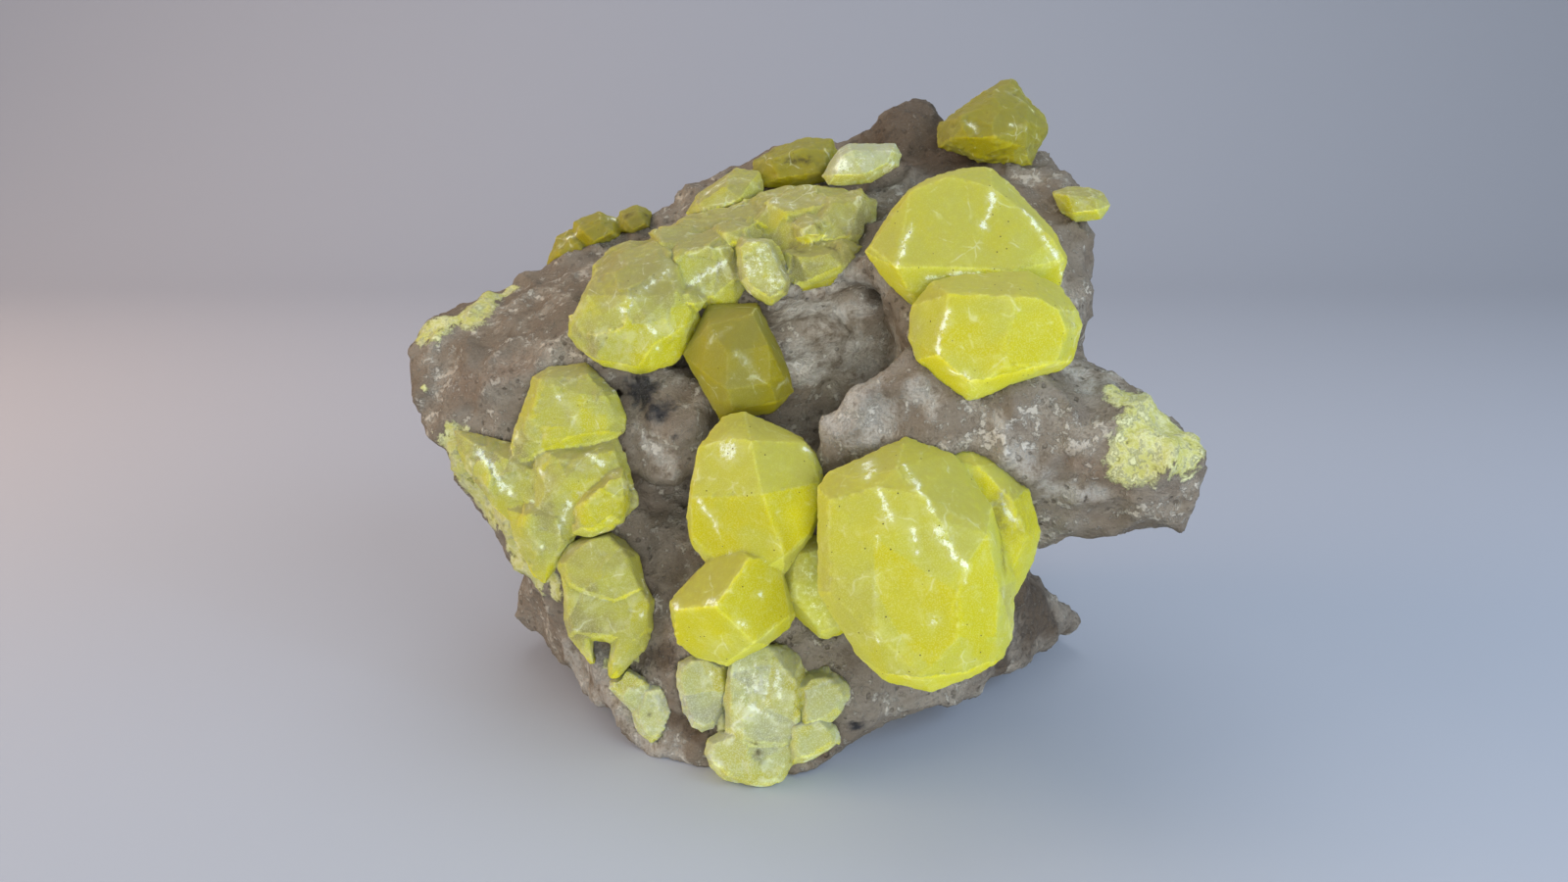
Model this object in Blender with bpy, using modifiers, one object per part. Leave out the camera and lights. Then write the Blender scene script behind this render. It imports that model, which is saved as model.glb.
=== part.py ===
"""Native sulfur on limestone: a hollowed block of rock with crystals grown on its front.

Run with: blender --background --python part.py
Every piece is a closed solid in its own object, in metres, +Z up, standing on Z = 0.

The specimen is laid out on an upright sheet that faces the eye from the front, the way a
mineral is drawn.  A corner is (across, up, depth): its place on the sheet in millimetres,
and how far from the eye it lies.  A crystal's corners give `out` in place of depth, how far
the corner stands towards the eye from the crystal's own depth.
"""

import math

import bmesh
import bpy
from mathutils import Vector

MM = 0.001

# The eye stands in front of the specimen and above it, looking slightly down.
EYE_HEIGHT = 114.0
EYE_DISTANCE = 211.0
EYE_TILT = math.radians(17.6)
SHEET = 186.66

# The rock's surface.
ROCK_VOXEL = 1.6
ROCK_SMOOTHING = 1
LUMP_SIZE = 15.0
LUMP_HEIGHT = 3.6
LEDGE_SIZE = 7.0
LEDGE_HEIGHT = 2.6
ROCK_FACES = 4600

# Crystals that reach down to the ground are cut off this far above it: the rock stands on it.
GROUND_GAP = 0.4

# The gap between a crystal and the socket that it sits in.
GAP = 0.32

# Facets that meet at less than this are one facet.
FACET_ANGLE = 5.0

# Colours: red, green, blue, then roughness.
ROCK_FINISH = ((0.30, 0.25, 0.20), 0.92)
SULFUR_FINISH = ((0.72, 0.68, 0.10), 0.55)
PALE_FINISH = ((0.76, 0.74, 0.30), 0.60)

ROCK_BLOCKS = {
    "roof left": [
        (-57.8, 15.3, 222), (-54, 18.1, 227), (-45, 23.8, 233), (-36, 27.3, 238), (-23.2, 33.3, 243),
        (-16.5, 35.7, 244), (-58.3, 6.9, 217), (-52.5, 4.8, 214), (-42, 9.8, 210), (-32.2, 10.8, 208),
        (-22.5, 10.8, 208), (-13.2, 18, 208), (-52.5, 7.5, 232), (-36, 18, 252), (-15, 31.5, 256),
        (-24, 18, 240), (-36, 4.5, 225), (-16.5, 18, 235),
    ],
    "roof right": [
        (-15.9, 36.9, 244), (-14.7, 39.6, 244), (-11.7, 40.9, 244), (-8.7, 42.3, 244), (0, 45, 243),
        (10.5, 46.8, 240), (27.8, 46.5, 232), (39, 45, 228), (-13.2, 18.8, 208), (-4.5, 20.7, 206),
        (7.5, 24, 203), (15, 26.2, 202), (-15, 31.5, 256), (0, 36, 259), (21, 39, 256),
        (36, 37.5, 252), (-6, 18, 225), (7.5, 21, 225),
    ],
    "knob": [
        (13.2, 48.3, 239), (15.8, 49.9, 238), (18.8, 51.9, 237), (22.2, 52.2, 236), (24.3, 50.4, 235),
        (25.5, 45, 232), (15, 42, 230), (18, 43.5, 249), (24, 43.5, 249),
    ],
    "shoulder": [
        (27.8, 46.5, 232), (39, 45, 228), (42.8, 42, 222), (46.8, 39, 217), (48, 33, 210),
        (46.8, 28.2, 206), (45.9, 15, 196), (13.5, 30, 203), (15, 22.5, 200), (18.8, 16.5, 193),
        (24, 10.5, 189), (37.5, 10.5, 191), (44.2, 12.8, 194), (36, 37.5, 252), (42, 18, 240),
        (24, 22.5, 252), (19.5, 4.5, 215), (42, 4.5, 225),
    ],
    "arm": [
        (3, 2.1, 188), (10.2, 8.7, 185), (19.5, 15.3, 184), (28.5, 7.5, 187), (36.8, 0, 186),
        (52.5, -3, 180), (45, 13.5, 194), (51, 8.5, 189), (58.5, 3.9, 186), (65, -0.8, 182),
        (66, -4.2, 179), (64.3, -9, 181), (60.8, -13.3, 185), (57.8, -14.1, 186), (48, -12.9, 192),
        (39.8, -15.3, 194), (7.5, -10.5, 195), (22.5, -16.5, 198), (36, -16.5, 198), (43.5, 7.5, 218),
        (57, 1.5, 207), (58.5, -7.5, 202), (42, -7.5, 215), (15, 0, 215),
    ],
    "core": [
        (-24, 22.5, 225), (-15, 22.5, 224), (0, 18, 228), (7.5, 15.8, 226), (15, 18, 214), (0, 3, 217),
        (-15, -10.5, 218), (4.5, 1.5, 210), (15, 0, 210), (-21, -16.5, 215), (30, -16.5, 215),
        (-36, 18, 252), (-15, 31.5, 256), (0, 34.5, 259), (21, 37.5, 256), (36, 34.5, 252),
        (42, 18, 245), (-27, -7.5, 252), (0, -4.5, 262), (33, -4.5, 253), (-22.5, -25.5, 252),
        (22.5, -25.5, 252), (0, -22.5, 259),
    ],
    "lobe": [
        (-24, 7.5, 209), (-22.5, 10.5, 212), (-15, 12.3, 212), (-9.8, 8.2, 209), (-9, 1.5, 207),
        (-10.5, -4.5, 206), (-14.7, -7.8, 206), (-20.2, -7.5, 207), (-23.2, -3.3, 208),
        (-24.4, 1.5, 208), (-16.5, 1.5, 202), (-19.8, 4.5, 203), (-13.2, 4.5, 203), (-16.5, -3.9, 203),
        (-16.5, 1.5, 225), (-22.5, 0, 222), (-9, 3, 222),
    ],
    "left rim": [
        (-58.3, 6.9, 217), (-52.5, 4.8, 214), (-49.5, -0.8, 216), (-45.3, -9.8, 217),
        (-41.7, -17.2, 219), (-38.2, -22.5, 220), (-30, -24, 212), (-24, -22.5, 210),
        (-21.8, -16.5, 212), (-23.2, -10.5, 212), (-24, -3, 212), (-24.6, 4.5, 212), (-32.2, 9.8, 211),
        (-42, 9, 211), (-52.5, 6, 228), (-42, -13.5, 235), (-36, -22.5, 240), (-24, -16.5, 240),
        (-24, 4.5, 232),
    ],
    "foot front": [
        (-21.8, -12, 212), (-15, -10.5, 214), (-15, -21, 206), (-16.5, -34.5, 204), (-22.5, -36, 207),
        (-30, -36, 213), (-27.8, -40.5, 212), (-24, -45, 210), (-18, -49, 207), (-9, -52, 203),
        (-2.2, -53.1, 201), (6, -48.4, 202), (12, -45.9, 204), (19.5, -42.6, 207), (10.5, -31.5, 199),
        (6, -22.5, 200), (4.5, -10.5, 202), (7.5, -3, 198), (15, -28.5, 199), (22.5, -30, 200),
        (30, -16.5, 200), (31.5, -36, 211), (-24, -25.5, 252), (22.5, -25.5, 250), (0, -22.5, 252),
        (-21, -7.5, 240), (30, -7.5, 240),
    ],
    "foot right": [
        (30, -16.5, 201), (36.8, -21, 224), (39.3, -22.5, 236), (45.6, -28.2, 245), (44.7, -30, 246),
        (36, -35.1, 225), (30, -38.1, 215), (22.5, -41.7, 208), (19.5, -30, 201), (40.5, -25.8, 254),
        (22.5, -25.5, 252), (30, -13.5, 247),
    ],
    "foot left": [
        (-40.6, -23.6, 245), (-41.1, -26.1, 246), (-36, -31.8, 235), (-31.5, -38.1, 223),
        (-27, -43, 215), (-30, -28.5, 213), (-36, -22.5, 222), (-38.2, -21, 235), (-34.5, -25.8, 253),
        (-22.5, -25.5, 252), (-27, -16.5, 245),
    ],
}

ROCK_BITES = {
    "hollow": [
        (-13.2, 17.1, 192), (-3.8, 20.1, 192), (7.5, 23.1, 190), (15.8, 22.2, 190), (19.2, 15.6, 186),
        (10.5, 8.8, 184), (3, 2.4, 186), (-6, 2.7, 196), (-8.7, 3.3, 198), (-9.8, 8.2, 198),
        (-10.5, 16.5, 222), (0, 17.7, 226), (9, 18.8, 224), (15.8, 15.8, 212), (9, 9.8, 210),
        (3.8, 5.7, 212), (-6, 6, 218),
    ],
    "gap under lobe": [
        (-22.8, -8.7, 200), (-15, -7.9, 200), (-11.7, -6, 200), (-13.2, -10.5, 200), (-19.8, -12, 200),
        (-18, -9.3, 226), (-13.2, -8.2, 228), (-15, -10.8, 226),
    ],
}

FRONT_TWIN = [
    {
        "piece": "main", "depth": 176.5, "root": 24, "taper": 0.62,
        "rim": [
            (18.6, 0.8, -8), (13.2, -1.5, -6.5), (6.8, -4.6, -5), (5, -7, -4), (5, -23.1, -3.5),
            (7, -25.6, -3.5), (11.1, -32.9, -4.5), (15.3, -36.9, -5), (22.5, -38.5, -5),
            (29.4, -36, -4.5), (33.4, -33.6, -5.5), (35.2, -30, -6.5), (35.5, -21.3, -6.5),
            (31.8, -9.8, -4), (26.2, -1.8, -6),
        ],
        "face": [
            (9.9, -5.5, -1.4), (14.2, -7, 1.6), (17.2, -4.3, 0.6), (21.3, -8.4, 3.4), (23.7, -12, 4.3),
            (27.8, -19.1, 4.7), (26.4, -23.2, 4.6), (26.7, -30, 3.3), (21, -36.3, 1.4),
            (13.9, -15, 2.6), (13.9, -29.2, 1.4), (31.2, -14.2, 2.4), (32.9, -22.5, 1.2),
            (32.5, -30, 0), (30.9, -33.9, -1.4), (27.9, -35.4, -0.2), (15.8, -35.7, -1.4),
            (6.9, -9, -0.8), (6.9, -23.2, -0.9),
        ],
    },
    {
        "piece": "shoulder", "depth": 181.5, "root": 22, "taper": 0.6,
        "rim": [
            (24, -2.4, -3), (28.2, -1.2, -3), (33.1, -3.3, -3), (37.5, -7, -4), (39.4, -14.1, -5),
            (38.2, -18.8, -5.5), (36, -21.3, -6), (33, -28.5, -7), (27.8, -22.5, -5), (24.8, -7.5, -3),
        ],
        "face": [
            (30, -3.9, 0), (35.1, -9.3, 0.6), (37.2, -14.7, -0.8), (34.5, -21, -1.5),
        ],
    },
]

CENTRE = [
    {
        "piece": "upper", "depth": 188, "root": 16, "taper": 0.65,
        "rim": [
            (-9.3, 4, -7), (-6.1, 4.6, -7.5), (-0.8, 2.4, -7), (2.7, 0.6, -5.5), (6.1, -3.1, -5),
            (6, -10.5, -4), (4.2, -14.7, -3.6), (0, -20.7, -2.6), (-6.5, -21.6, -4),
            (-11.7, -19.1, -5.6), (-14.4, -15.9, -6), (-15, -11.8, -5.5), (-14.5, -7.5, -5),
            (-13.3, -1.8, -5),
        ],
        "face": [
            (-13.2, -0.9, -3.4), (-8.2, 0.4, -0.6), (-5.1, 0.1, 1.1), (3.3, -0.3, -2),
            (-3.3, -8.2, 3.8), (5.4, -6.3, -0.6), (0, -17.7, 2.2), (-9.8, -18.3, -3),
            (-14.1, -14.7, -4), (-14.2, -8.7, -2.3), (5.4, -10.5, -0.9), (3.9, -14.2, 0),
        ],
    },
    {
        "piece": "lower", "depth": 188, "root": 16, "taper": 0.65,
        "rim": [
            (-17.6, -24.3, -4.5), (-15, -21.6, -6), (-11.4, -18, -6.2), (-6.5, -16.5, -4.5),
            (-0.6, -18, -4.5), (0.6, -22.8, -5.5), (1.8, -26.6, -6), (0.9, -28.6, -6),
            (-2.4, -31.3, -4.5), (-5.1, -31.6, -3.6), (-8.8, -34.6, -6.4), (-13.7, -33.1, -7.4),
            (-16.5, -31, -7.2), (-17.4, -27, -5.4),
        ],
        "face": [
            (-16.9, -25.8, -1.2), (-10.5, -25.2, 4), (-5.4, -17.8, 1.6), (-0.6, -18.4, -0.8),
            (-4.6, -30.9, 1.2), (-14.8, -21.6, -3.7), (-11.4, -18.1, -3.9), (-6.6, -16.6, -1),
            (0.9, -26.7, -2.4), (-8.8, -34, -4.6),
        ],
    },
    {
        "piece": "behind", "depth": 194, "root": 16, "taper": 0.7,
        "rim": [
            (-3.3, -22.5, -6), (-2.7, -16.5, -6), (1.2, -15.9, -2.6), (3, -14.4, -3), (7.5, -14.2, -4),
            (12, -19.5, -5), (12, -28.5, -5), (6.8, -30.4, -3.4), (5.4, -30.3, -3), (0.3, -24.9, -3),
        ],
        "face": [
            (1.8, -17.4, 0.2), (6.3, -16.5, 0.6), (10.2, -22.5, 0.5), (9.6, -27.9, -0.3),
            (5.7, -29.2, -0.6), (1.1, -23.6, -0.3),
        ],
    },
]

PAIR = [
    {
        "piece": "upper", "depth": 190, "root": 20, "taper": 0.62,
        "rim": [
            (12.2, 28.9, -3), (13.8, 31.5, -3.4), (16.6, 35.7, -3.8), (19.2, 38.7, -3.6),
            (22.5, 40.5, -4), (25.2, 41.1, -4.6), (27.3, 41.9, -8), (31.6, 42, -9), (35.2, 39, -8.5),
            (37.5, 35.7, -6), (41.5, 32.1, -4), (43.6, 27.8, -4), (42.4, 23.8, -5), (37.5, 20.7, -6),
            (22.5, 19.5, -4), (19.5, 20.7, -4.5), (15.4, 24.3, -4.5),
        ],
        "face": [
            (13.2, 29.7, -0.9), (19.5, 33.6, 0.7), (19.3, 38.2, -0.9), (25.2, 40.5, -1.5),
            (31.8, 39, -1.1), (29.7, 32.7, 1.3), (17.2, 26.6, 2.8), (26.4, 26.7, 3.3), (35.1, 26.1, 3),
            (36.9, 34.9, -0.7), (41.1, 31, -0.8), (42.9, 27.9, -1.4), (18.9, 23.1, 0.6),
        ],
    },
    {
        "piece": "lower", "depth": 179.5, "root": 20, "taper": 0.62,
        "rim": [
            (19.3, 20.6, -5), (18.8, 15.9, -5), (20.1, 12.4, -4.2), (24.1, 8.8, -3.8), (28.2, 6, -3.2),
            (29.7, 6.3, -3.2), (36.6, 8.5, -4.6), (42.6, 10.8, -5), (44.4, 12.3, -5), (45.8, 17.7, -5),
            (45.1, 19.9, -5), (42.4, 23.7, -6), (37.4, 26.2, -6.5), (26.4, 25.5, -6.2),
            (22.5, 24.4, -5.6),
        ],
        "face": [
            (25.2, 22.6, 1), (35.4, 22.2, 3), (35.2, 19.5, 3.2), (33.6, 11.4, 2.7), (24.8, 19.5, 1.2),
            (23.4, 13.2, 0.8), (28.2, 9.2, 1.4), (29.5, 7.5, -0.8), (30.8, 9.4, 2), (39, 21.9, 2.2),
            (42, 20.1, 1.7), (43.2, 17.1, 1.4), (41.9, 12.2, 1.1),
        ],
    },
]

HOLLOW = [
    {
        "piece": "one", "depth": 200, "root": 16, "taper": 0.6,
        "rim": [
            (-15.6, 13.2, -4), (-13.5, 16.8, -5), (-11.7, 21, -7), (-4, 21.3, -7), (-2.1, 17.2, -5),
            (-0.4, 13.9, -4.5), (0.8, 10.8, -4), (1.6, 7.6, -4), (-1.5, 4.2, -5), (-9.8, 3, -5),
            (-12.8, 9, -3.5),
        ],
        "face": [
            (-11.7, 17.7, 0), (-4.8, 19.5, 0), (-2.4, 14.7, 1.6), (-0.1, 9.9, 0.4), (-2.2, 9, 2),
            (-8.7, 7.8, 2.2), (-12.6, 10.8, 0), (-8.7, 13.5, 2.2), (-1.1, 6, -0.8), (-7.8, 4.8, -0.6),
        ],
    },
]

CRUST = [
    {
        "piece": "lower left", "depth": 203, "root": 14, "taper": 0.7,
        "rim": [
            (-32.5, 19.2, -4), (-33, 16.1, -3.5), (-31.6, 13.8, -3.5), (-28.2, 11.5, -3),
            (-23.1, 10.3, -2.5), (-17.4, 12, -3.5), (-13.9, 14.7, -4), (-12.2, 17.4, -4.5),
            (-13.2, 20.7, -4), (-14.4, 24.3, -5), (-16.2, 28.2, -5.5), (-19.8, 30, -6),
            (-24.3, 29.1, -6), (-28.8, 26.1, -6), (-31.2, 22.5, -4.5),
        ],
        "face": [
            (-23.1, 22.2, 2), (-21.4, 18.8, 2.6), (-22.6, 11.1, 0.2), (-28.2, 12.3, -0.7),
            (-29.5, 16.5, 0.4), (-27.9, 19.5, 0.9), (-16.5, 22.8, 0.9), (-14.1, 20.1, 0.3),
            (-14.8, 17.7, 0.5), (-19.9, 15, 2), (-31.8, 17.4, -1.4), (-30.3, 22.5, -1),
            (-19.2, 27.3, -1.2), (-23.7, 26.7, -1.2), (-16.5, 25.8, -1), (-28.1, 24.9, -2),
        ],
    },
    {
        "piece": "middle", "depth": 206, "root": 14, "taper": 0.7,
        "rim": [
            (-20.4, 23.7, -3), (-16.5, 30.8, -4), (-10.5, 32.7, -5), (-6.5, 30.3, -4),
            (-5.4, 24.8, -3.5), (-7.8, 20.8, -3), (-9.8, 19.9, -3), (-13.2, 20.1, -3),
            (-16.5, 20.7, -3),
        ],
        "face": [
            (-15.8, 28.2, 0.8), (-9.8, 30, 0.6), (-7.5, 24.8, 0.8), (-10.8, 22.1, 0.4),
            (-15, 22.5, 0.6),
        ],
    },
    {
        "piece": "tablet", "depth": 202, "root": 10, "taper": 0.75,
        "rim": [
            (-7.6, 29.8, -2.6), (-6.5, 31.3, -2.8), (-2.1, 31, -2.8), (-0.4, 28.2, -2.6),
            (1.2, 24.3, -2.5), (0.3, 22.6, -2.5), (-2.2, 21.3, -2.5), (-5.4, 22.5, -2.5),
            (-6.9, 24.3, -2.5),
        ],
        "face": [
            (-6.8, 29.7, 0.3), (-5.8, 30.4, 0.3), (-2.5, 30.1, 0.5), (-1.3, 27.9, 0.7),
            (0.1, 24.3, 0.6), (-0.4, 23.2, 0.3), (-2.4, 22.3, 0.2), (-4.8, 23.4, 0.4), (-6, 25.1, 0.5),
        ],
    },
    {
        "piece": "right", "depth": 204, "root": 14, "taper": 0.7,
        "rim": [
            (-0.6, 29.2, -4), (5.2, 31, -4), (10.2, 30, -4), (12.3, 30, -5), (10.2, 26.7, -4),
            (7.6, 24, -4), (3.3, 23.2, -3.5), (0.6, 24, -3.5),
        ],
        "face": [
            (1.8, 28.2, 0.8), (6.8, 28.8, 0.8), (8.7, 27, 0), (4.5, 24.9, 0.4),
        ],
    },
    {
        "piece": "upper right", "depth": 208, "root": 14, "taper": 0.7,
        "rim": [
            (6.5, 37.9, -5), (12, 39, -6), (14.2, 35.5, -5), (13.2, 31.5, -4), (9.3, 27.8, -4),
            (4.8, 28.2, -4), (3.3, 33.8, -4),
        ],
        "face": [
            (7.5, 36.3, -0.6), (11.4, 36.3, -1), (10.2, 31.5, 0.6), (5.7, 30.8, 1), (5.2, 34.2, 0.4),
        ],
    },
    {
        "piece": "top", "depth": 213, "root": 14, "taper": 0.7,
        "rim": [
            (-3.8, 38.1, -5), (1.5, 39.3, -6), (6.8, 38.2, -5), (7.2, 32.2, -3), (0, 30, -3),
            (-5.7, 31.8, -3), (-6.5, 35.7, -4),
        ],
        "face": [
            (-2.2, 36.3, 0), (4.5, 36.6, -0.2), (4.8, 32.7, 1), (-1.5, 32.1, 1.2), (-4.2, 33.8, 0.6),
        ],
    },
    {
        "piece": "left rim", "depth": 210, "root": 12, "taper": 0.7,
        "rim": [
            (-30.3, 22.2, -4), (-29.2, 27, -4), (-24, 30.9, -5), (-18.9, 31.2, -5), (-17.7, 28.2, -4),
            (-22.5, 24, -3), (-27, 22.5, -3),
        ],
        "face": [
            (-28.2, 25.8, -0.4), (-23.7, 29.1, -0.6), (-20.2, 29.2, -0.6), (-24, 25.5, 0.8),
        ],
    },
    {
        "piece": "bed", "depth": 213, "root": 14, "taper": 0.85,
        "rim": [
            (-24.6, 26.7, -4), (-20.7, 31.2, -4), (-15, 34.6, -5), (-6, 36.8, -5), (0, 37.5, -3),
            (0, 24, -2), (-6, 21.3, -2), (-15, 19.8, -2), (-24, 21, -2),
        ],
        "face": [
            (-20.7, 27.9, 0.6), (-15, 31.8, 0.6), (-7.2, 33.6, 0.6), (-2.2, 28.2, 2), (-15, 24, 3),
            (-8.2, 24, 3),
        ],
    },
    {
        "piece": "bed right", "depth": 210, "root": 14, "taper": 0.85,
        "rim": [
            (-3, 36.8, -4), (2.2, 39, -5), (9, 39, -5), (14.5, 36.8, -5), (13.8, 31.5, -3),
            (12.3, 29.7, -3), (7.5, 24.9, -3), (0, 24.3, -3), (-3.6, 30, -3),
        ],
        "face": [
            (0, 35.2, 0.6), (7.5, 36.3, 0.4), (12, 34.2, 0.2), (9.3, 29.1, 1.4), (1.8, 28.2, 2),
        ],
    },
    {
        "piece": "shelf", "depth": 209, "root": 12, "taper": 0.75,
        "rim": [
            (-21, 30, -3), (-18.6, 31.8, -3.5), (-14.4, 32.7, -3.5), (-11.7, 31.5, -3),
            (-12.3, 28.2, -2.5), (-16.5, 26.1, -2.5), (-20.4, 26.7, -2.5),
        ],
        "face": [
            (-18.6, 29.7, 0.6), (-14.4, 30.6, 0.6), (-15, 28.2, 1), (-18, 27.6, 0.8),
        ],
    },
    {
        "piece": "knuckle", "depth": 207, "root": 11, "taper": 0.7,
        "rim": [
            (-10.8, 32.7, -3), (-7.8, 34.2, -3.5), (-4.2, 33.6, -3.5), (-3.6, 30.6, -3),
            (-6, 29.1, -2.5), (-9.9, 29.7, -2.5),
        ],
        "face": [
            (-9, 31.8, 0.4), (-6, 32.7, 0.2), (-5.7, 30.6, 0.8), (-8.1, 30.4, 0.7),
        ],
    },
    {
        "piece": "chip", "depth": 205, "root": 10, "taper": 0.7,
        "rim": [
            (0.9, 33.6, -3), (3.3, 35.1, -3.5), (6.3, 34.2, -3), (6.9, 31.5, -2.5), (4.2, 30, -2.5),
            (1.5, 30.9, -2.5),
        ],
        "face": [
            (2.4, 32.7, 0.4), (4.8, 33.4, 0.3), (5.1, 31.5, 0.6), (3, 31.3, 0.6),
        ],
    },
    {
        "piece": "lip", "depth": 203, "root": 10, "taper": 0.7,
        "rim": [
            (-19.8, 22.5, -2), (-16.5, 24, -2.5), (-13.2, 23.7, -2.5), (-11.7, 21.6, -2),
            (-12.9, 19.8, -2), (-17.1, 20.1, -2),
        ],
        "face": [
            (-17.7, 21.9, 0.6), (-14.7, 22.5, 0.5), (-13.8, 21, 0.4),
        ],
    },
]

RIDGE_LEFT = [
    {
        "piece": "one", "depth": 221, "root": 12, "taper": 0.7,
        "rim": [
            (-15, 34.9, -4), (-13.2, 37.8, -4), (-9.8, 40, -4.5), (-7.2, 41.5, -5), (-3.9, 41.1, -5),
            (-3.1, 38.4, -4), (-5.2, 36.3, -3), (-10.8, 33.9, -3), (-14.4, 33.9, -3),
        ],
        "face": [
            (-12.6, 36.6, 0), (-9.3, 39, 0), (-5.1, 39.6, -0.6), (-6.8, 37.2, 1), (-11.7, 35.1, 0.6),
        ],
    },
]

RIDGE_RIGHT = [
    {
        "piece": "one", "depth": 225, "root": 12, "taper": 0.7,
        "rim": [
            (-4.5, 42.6, -4), (-1.5, 44.9, -4.5), (3, 46.2, -5), (7.3, 46.2, -5), (8.7, 43.5, -4),
            (6.9, 40, -3), (0, 38.4, -3), (-3.9, 39.3, -3),
        ],
        "face": [
            (-2.1, 42.9, 0), (3, 44.7, -0.4), (6.8, 44.4, -0.8), (5.4, 41.2, 0.8), (-0.8, 40.2, 0.8),
        ],
    },
]

BLADE = [
    {
        "piece": "one", "depth": 215, "root": 9, "taper": 0.75,
        "rim": [
            (5.7, 40.5, -3), (6.9, 42.8, -3), (8.4, 44.7, -3), (9.9, 45.6, -3.5), (17.2, 45.6, -3.5),
            (18.1, 43.9, -3), (17.7, 42, -2.5), (13.2, 39.4, -2), (9, 39, -2), (6.8, 39.1, -2.5),
        ],
        "face": [
            (8.7, 43.5, 0.6), (10.2, 44.5, 0.6), (16.5, 44.4, 0.3), (15.8, 42.6, 1.2),
            (12.3, 40.8, 1.6), (7.8, 40.8, 1),
        ],
    },
]

SUMMIT = [
    {
        "piece": "one", "depth": 218, "root": 15, "taper": 0.6,
        "rim": [
            (23.6, 44.9, -5), (23.7, 48.4, -5), (26.4, 50.5, -5), (30.6, 53.7, -7), (33.3, 55, -8),
            (35.4, 54.8, -8), (37, 52.9, -7), (39.6, 50.1, -5), (39.9, 48, -4.5), (38.1, 45.3, -4),
            (37.8, 42.1, -5), (36, 41.7, -5), (30, 42.8, -4),
        ],
        "face": [
            (26.7, 49.4, 0), (30.9, 51.6, -0.6), (34, 53.1, -3), (37.2, 51, -2), (36.9, 48.3, 0.8),
            (32.4, 46.5, 2), (28.2, 46.5, 1.4), (25.5, 46.5, -1), (36.9, 45, -0.5),
        ],
    },
]

EDGE = [
    {
        "piece": "one", "depth": 206, "root": 14, "taper": 0.7,
        "rim": [
            (40.8, 38.1, -4), (43.5, 39, -4), (46.8, 38.9, -4), (48.9, 38.1, -3.5), (50.1, 36.1, -3),
            (48.6, 33.9, -3), (44.4, 33.4, -3), (42.4, 34.9, -3.5),
        ],
        "face": [
            (43.5, 37.6, -0.4), (47.7, 37.2, -0.6), (48, 35.4, 0.2), (44.4, 34.9, 0.4),
        ],
    },
]

BACK = [
    {
        "piece": "left", "depth": 237, "root": 11, "taper": 0.7,
        "rim": [
            (-36.3, 27, -4), (-34.9, 31.2, -4), (-32.7, 32.4, -4), (-30, 31.5, -4), (-29.7, 28.8, -3),
            (-31.5, 27, -3), (-34.2, 26.1, -3),
        ],
        "face": [
            (-34.5, 28.8, 0), (-32.7, 30.9, -0.3), (-30.9, 29.4, 0.6), (-32.7, 27.8, 0.6),
        ],
    },
    {
        "piece": "middle", "depth": 236, "root": 11, "taper": 0.7,
        "rim": [
            (-32.4, 30.6, -4), (-32.2, 33.6, -4), (-28.2, 34.8, -4), (-25.8, 34.2, -4),
            (-24.9, 31.5, -3), (-27.6, 29.7, -3), (-30.6, 29.1, -3),
        ],
        "face": [
            (-30.8, 32.1, 0), (-28.2, 33.3, -0.3), (-26.4, 32.1, 0.3), (-29.1, 30.6, 0.8),
        ],
    },
    {
        "piece": "right", "depth": 236, "root": 11, "taper": 0.7,
        "rim": [
            (-25.8, 32.1, -4), (-25.3, 35.1, -4), (-22.5, 36.3, -4), (-20.4, 35.1, -4),
            (-20.1, 32.7, -3), (-22.8, 31.5, -3),
        ],
        "face": [
            (-24.3, 33.6, 0), (-22.3, 34.9, -0.3), (-21.4, 33.3, 0.4), (-23.1, 32.4, 0.5),
        ],
    },
]

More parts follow.
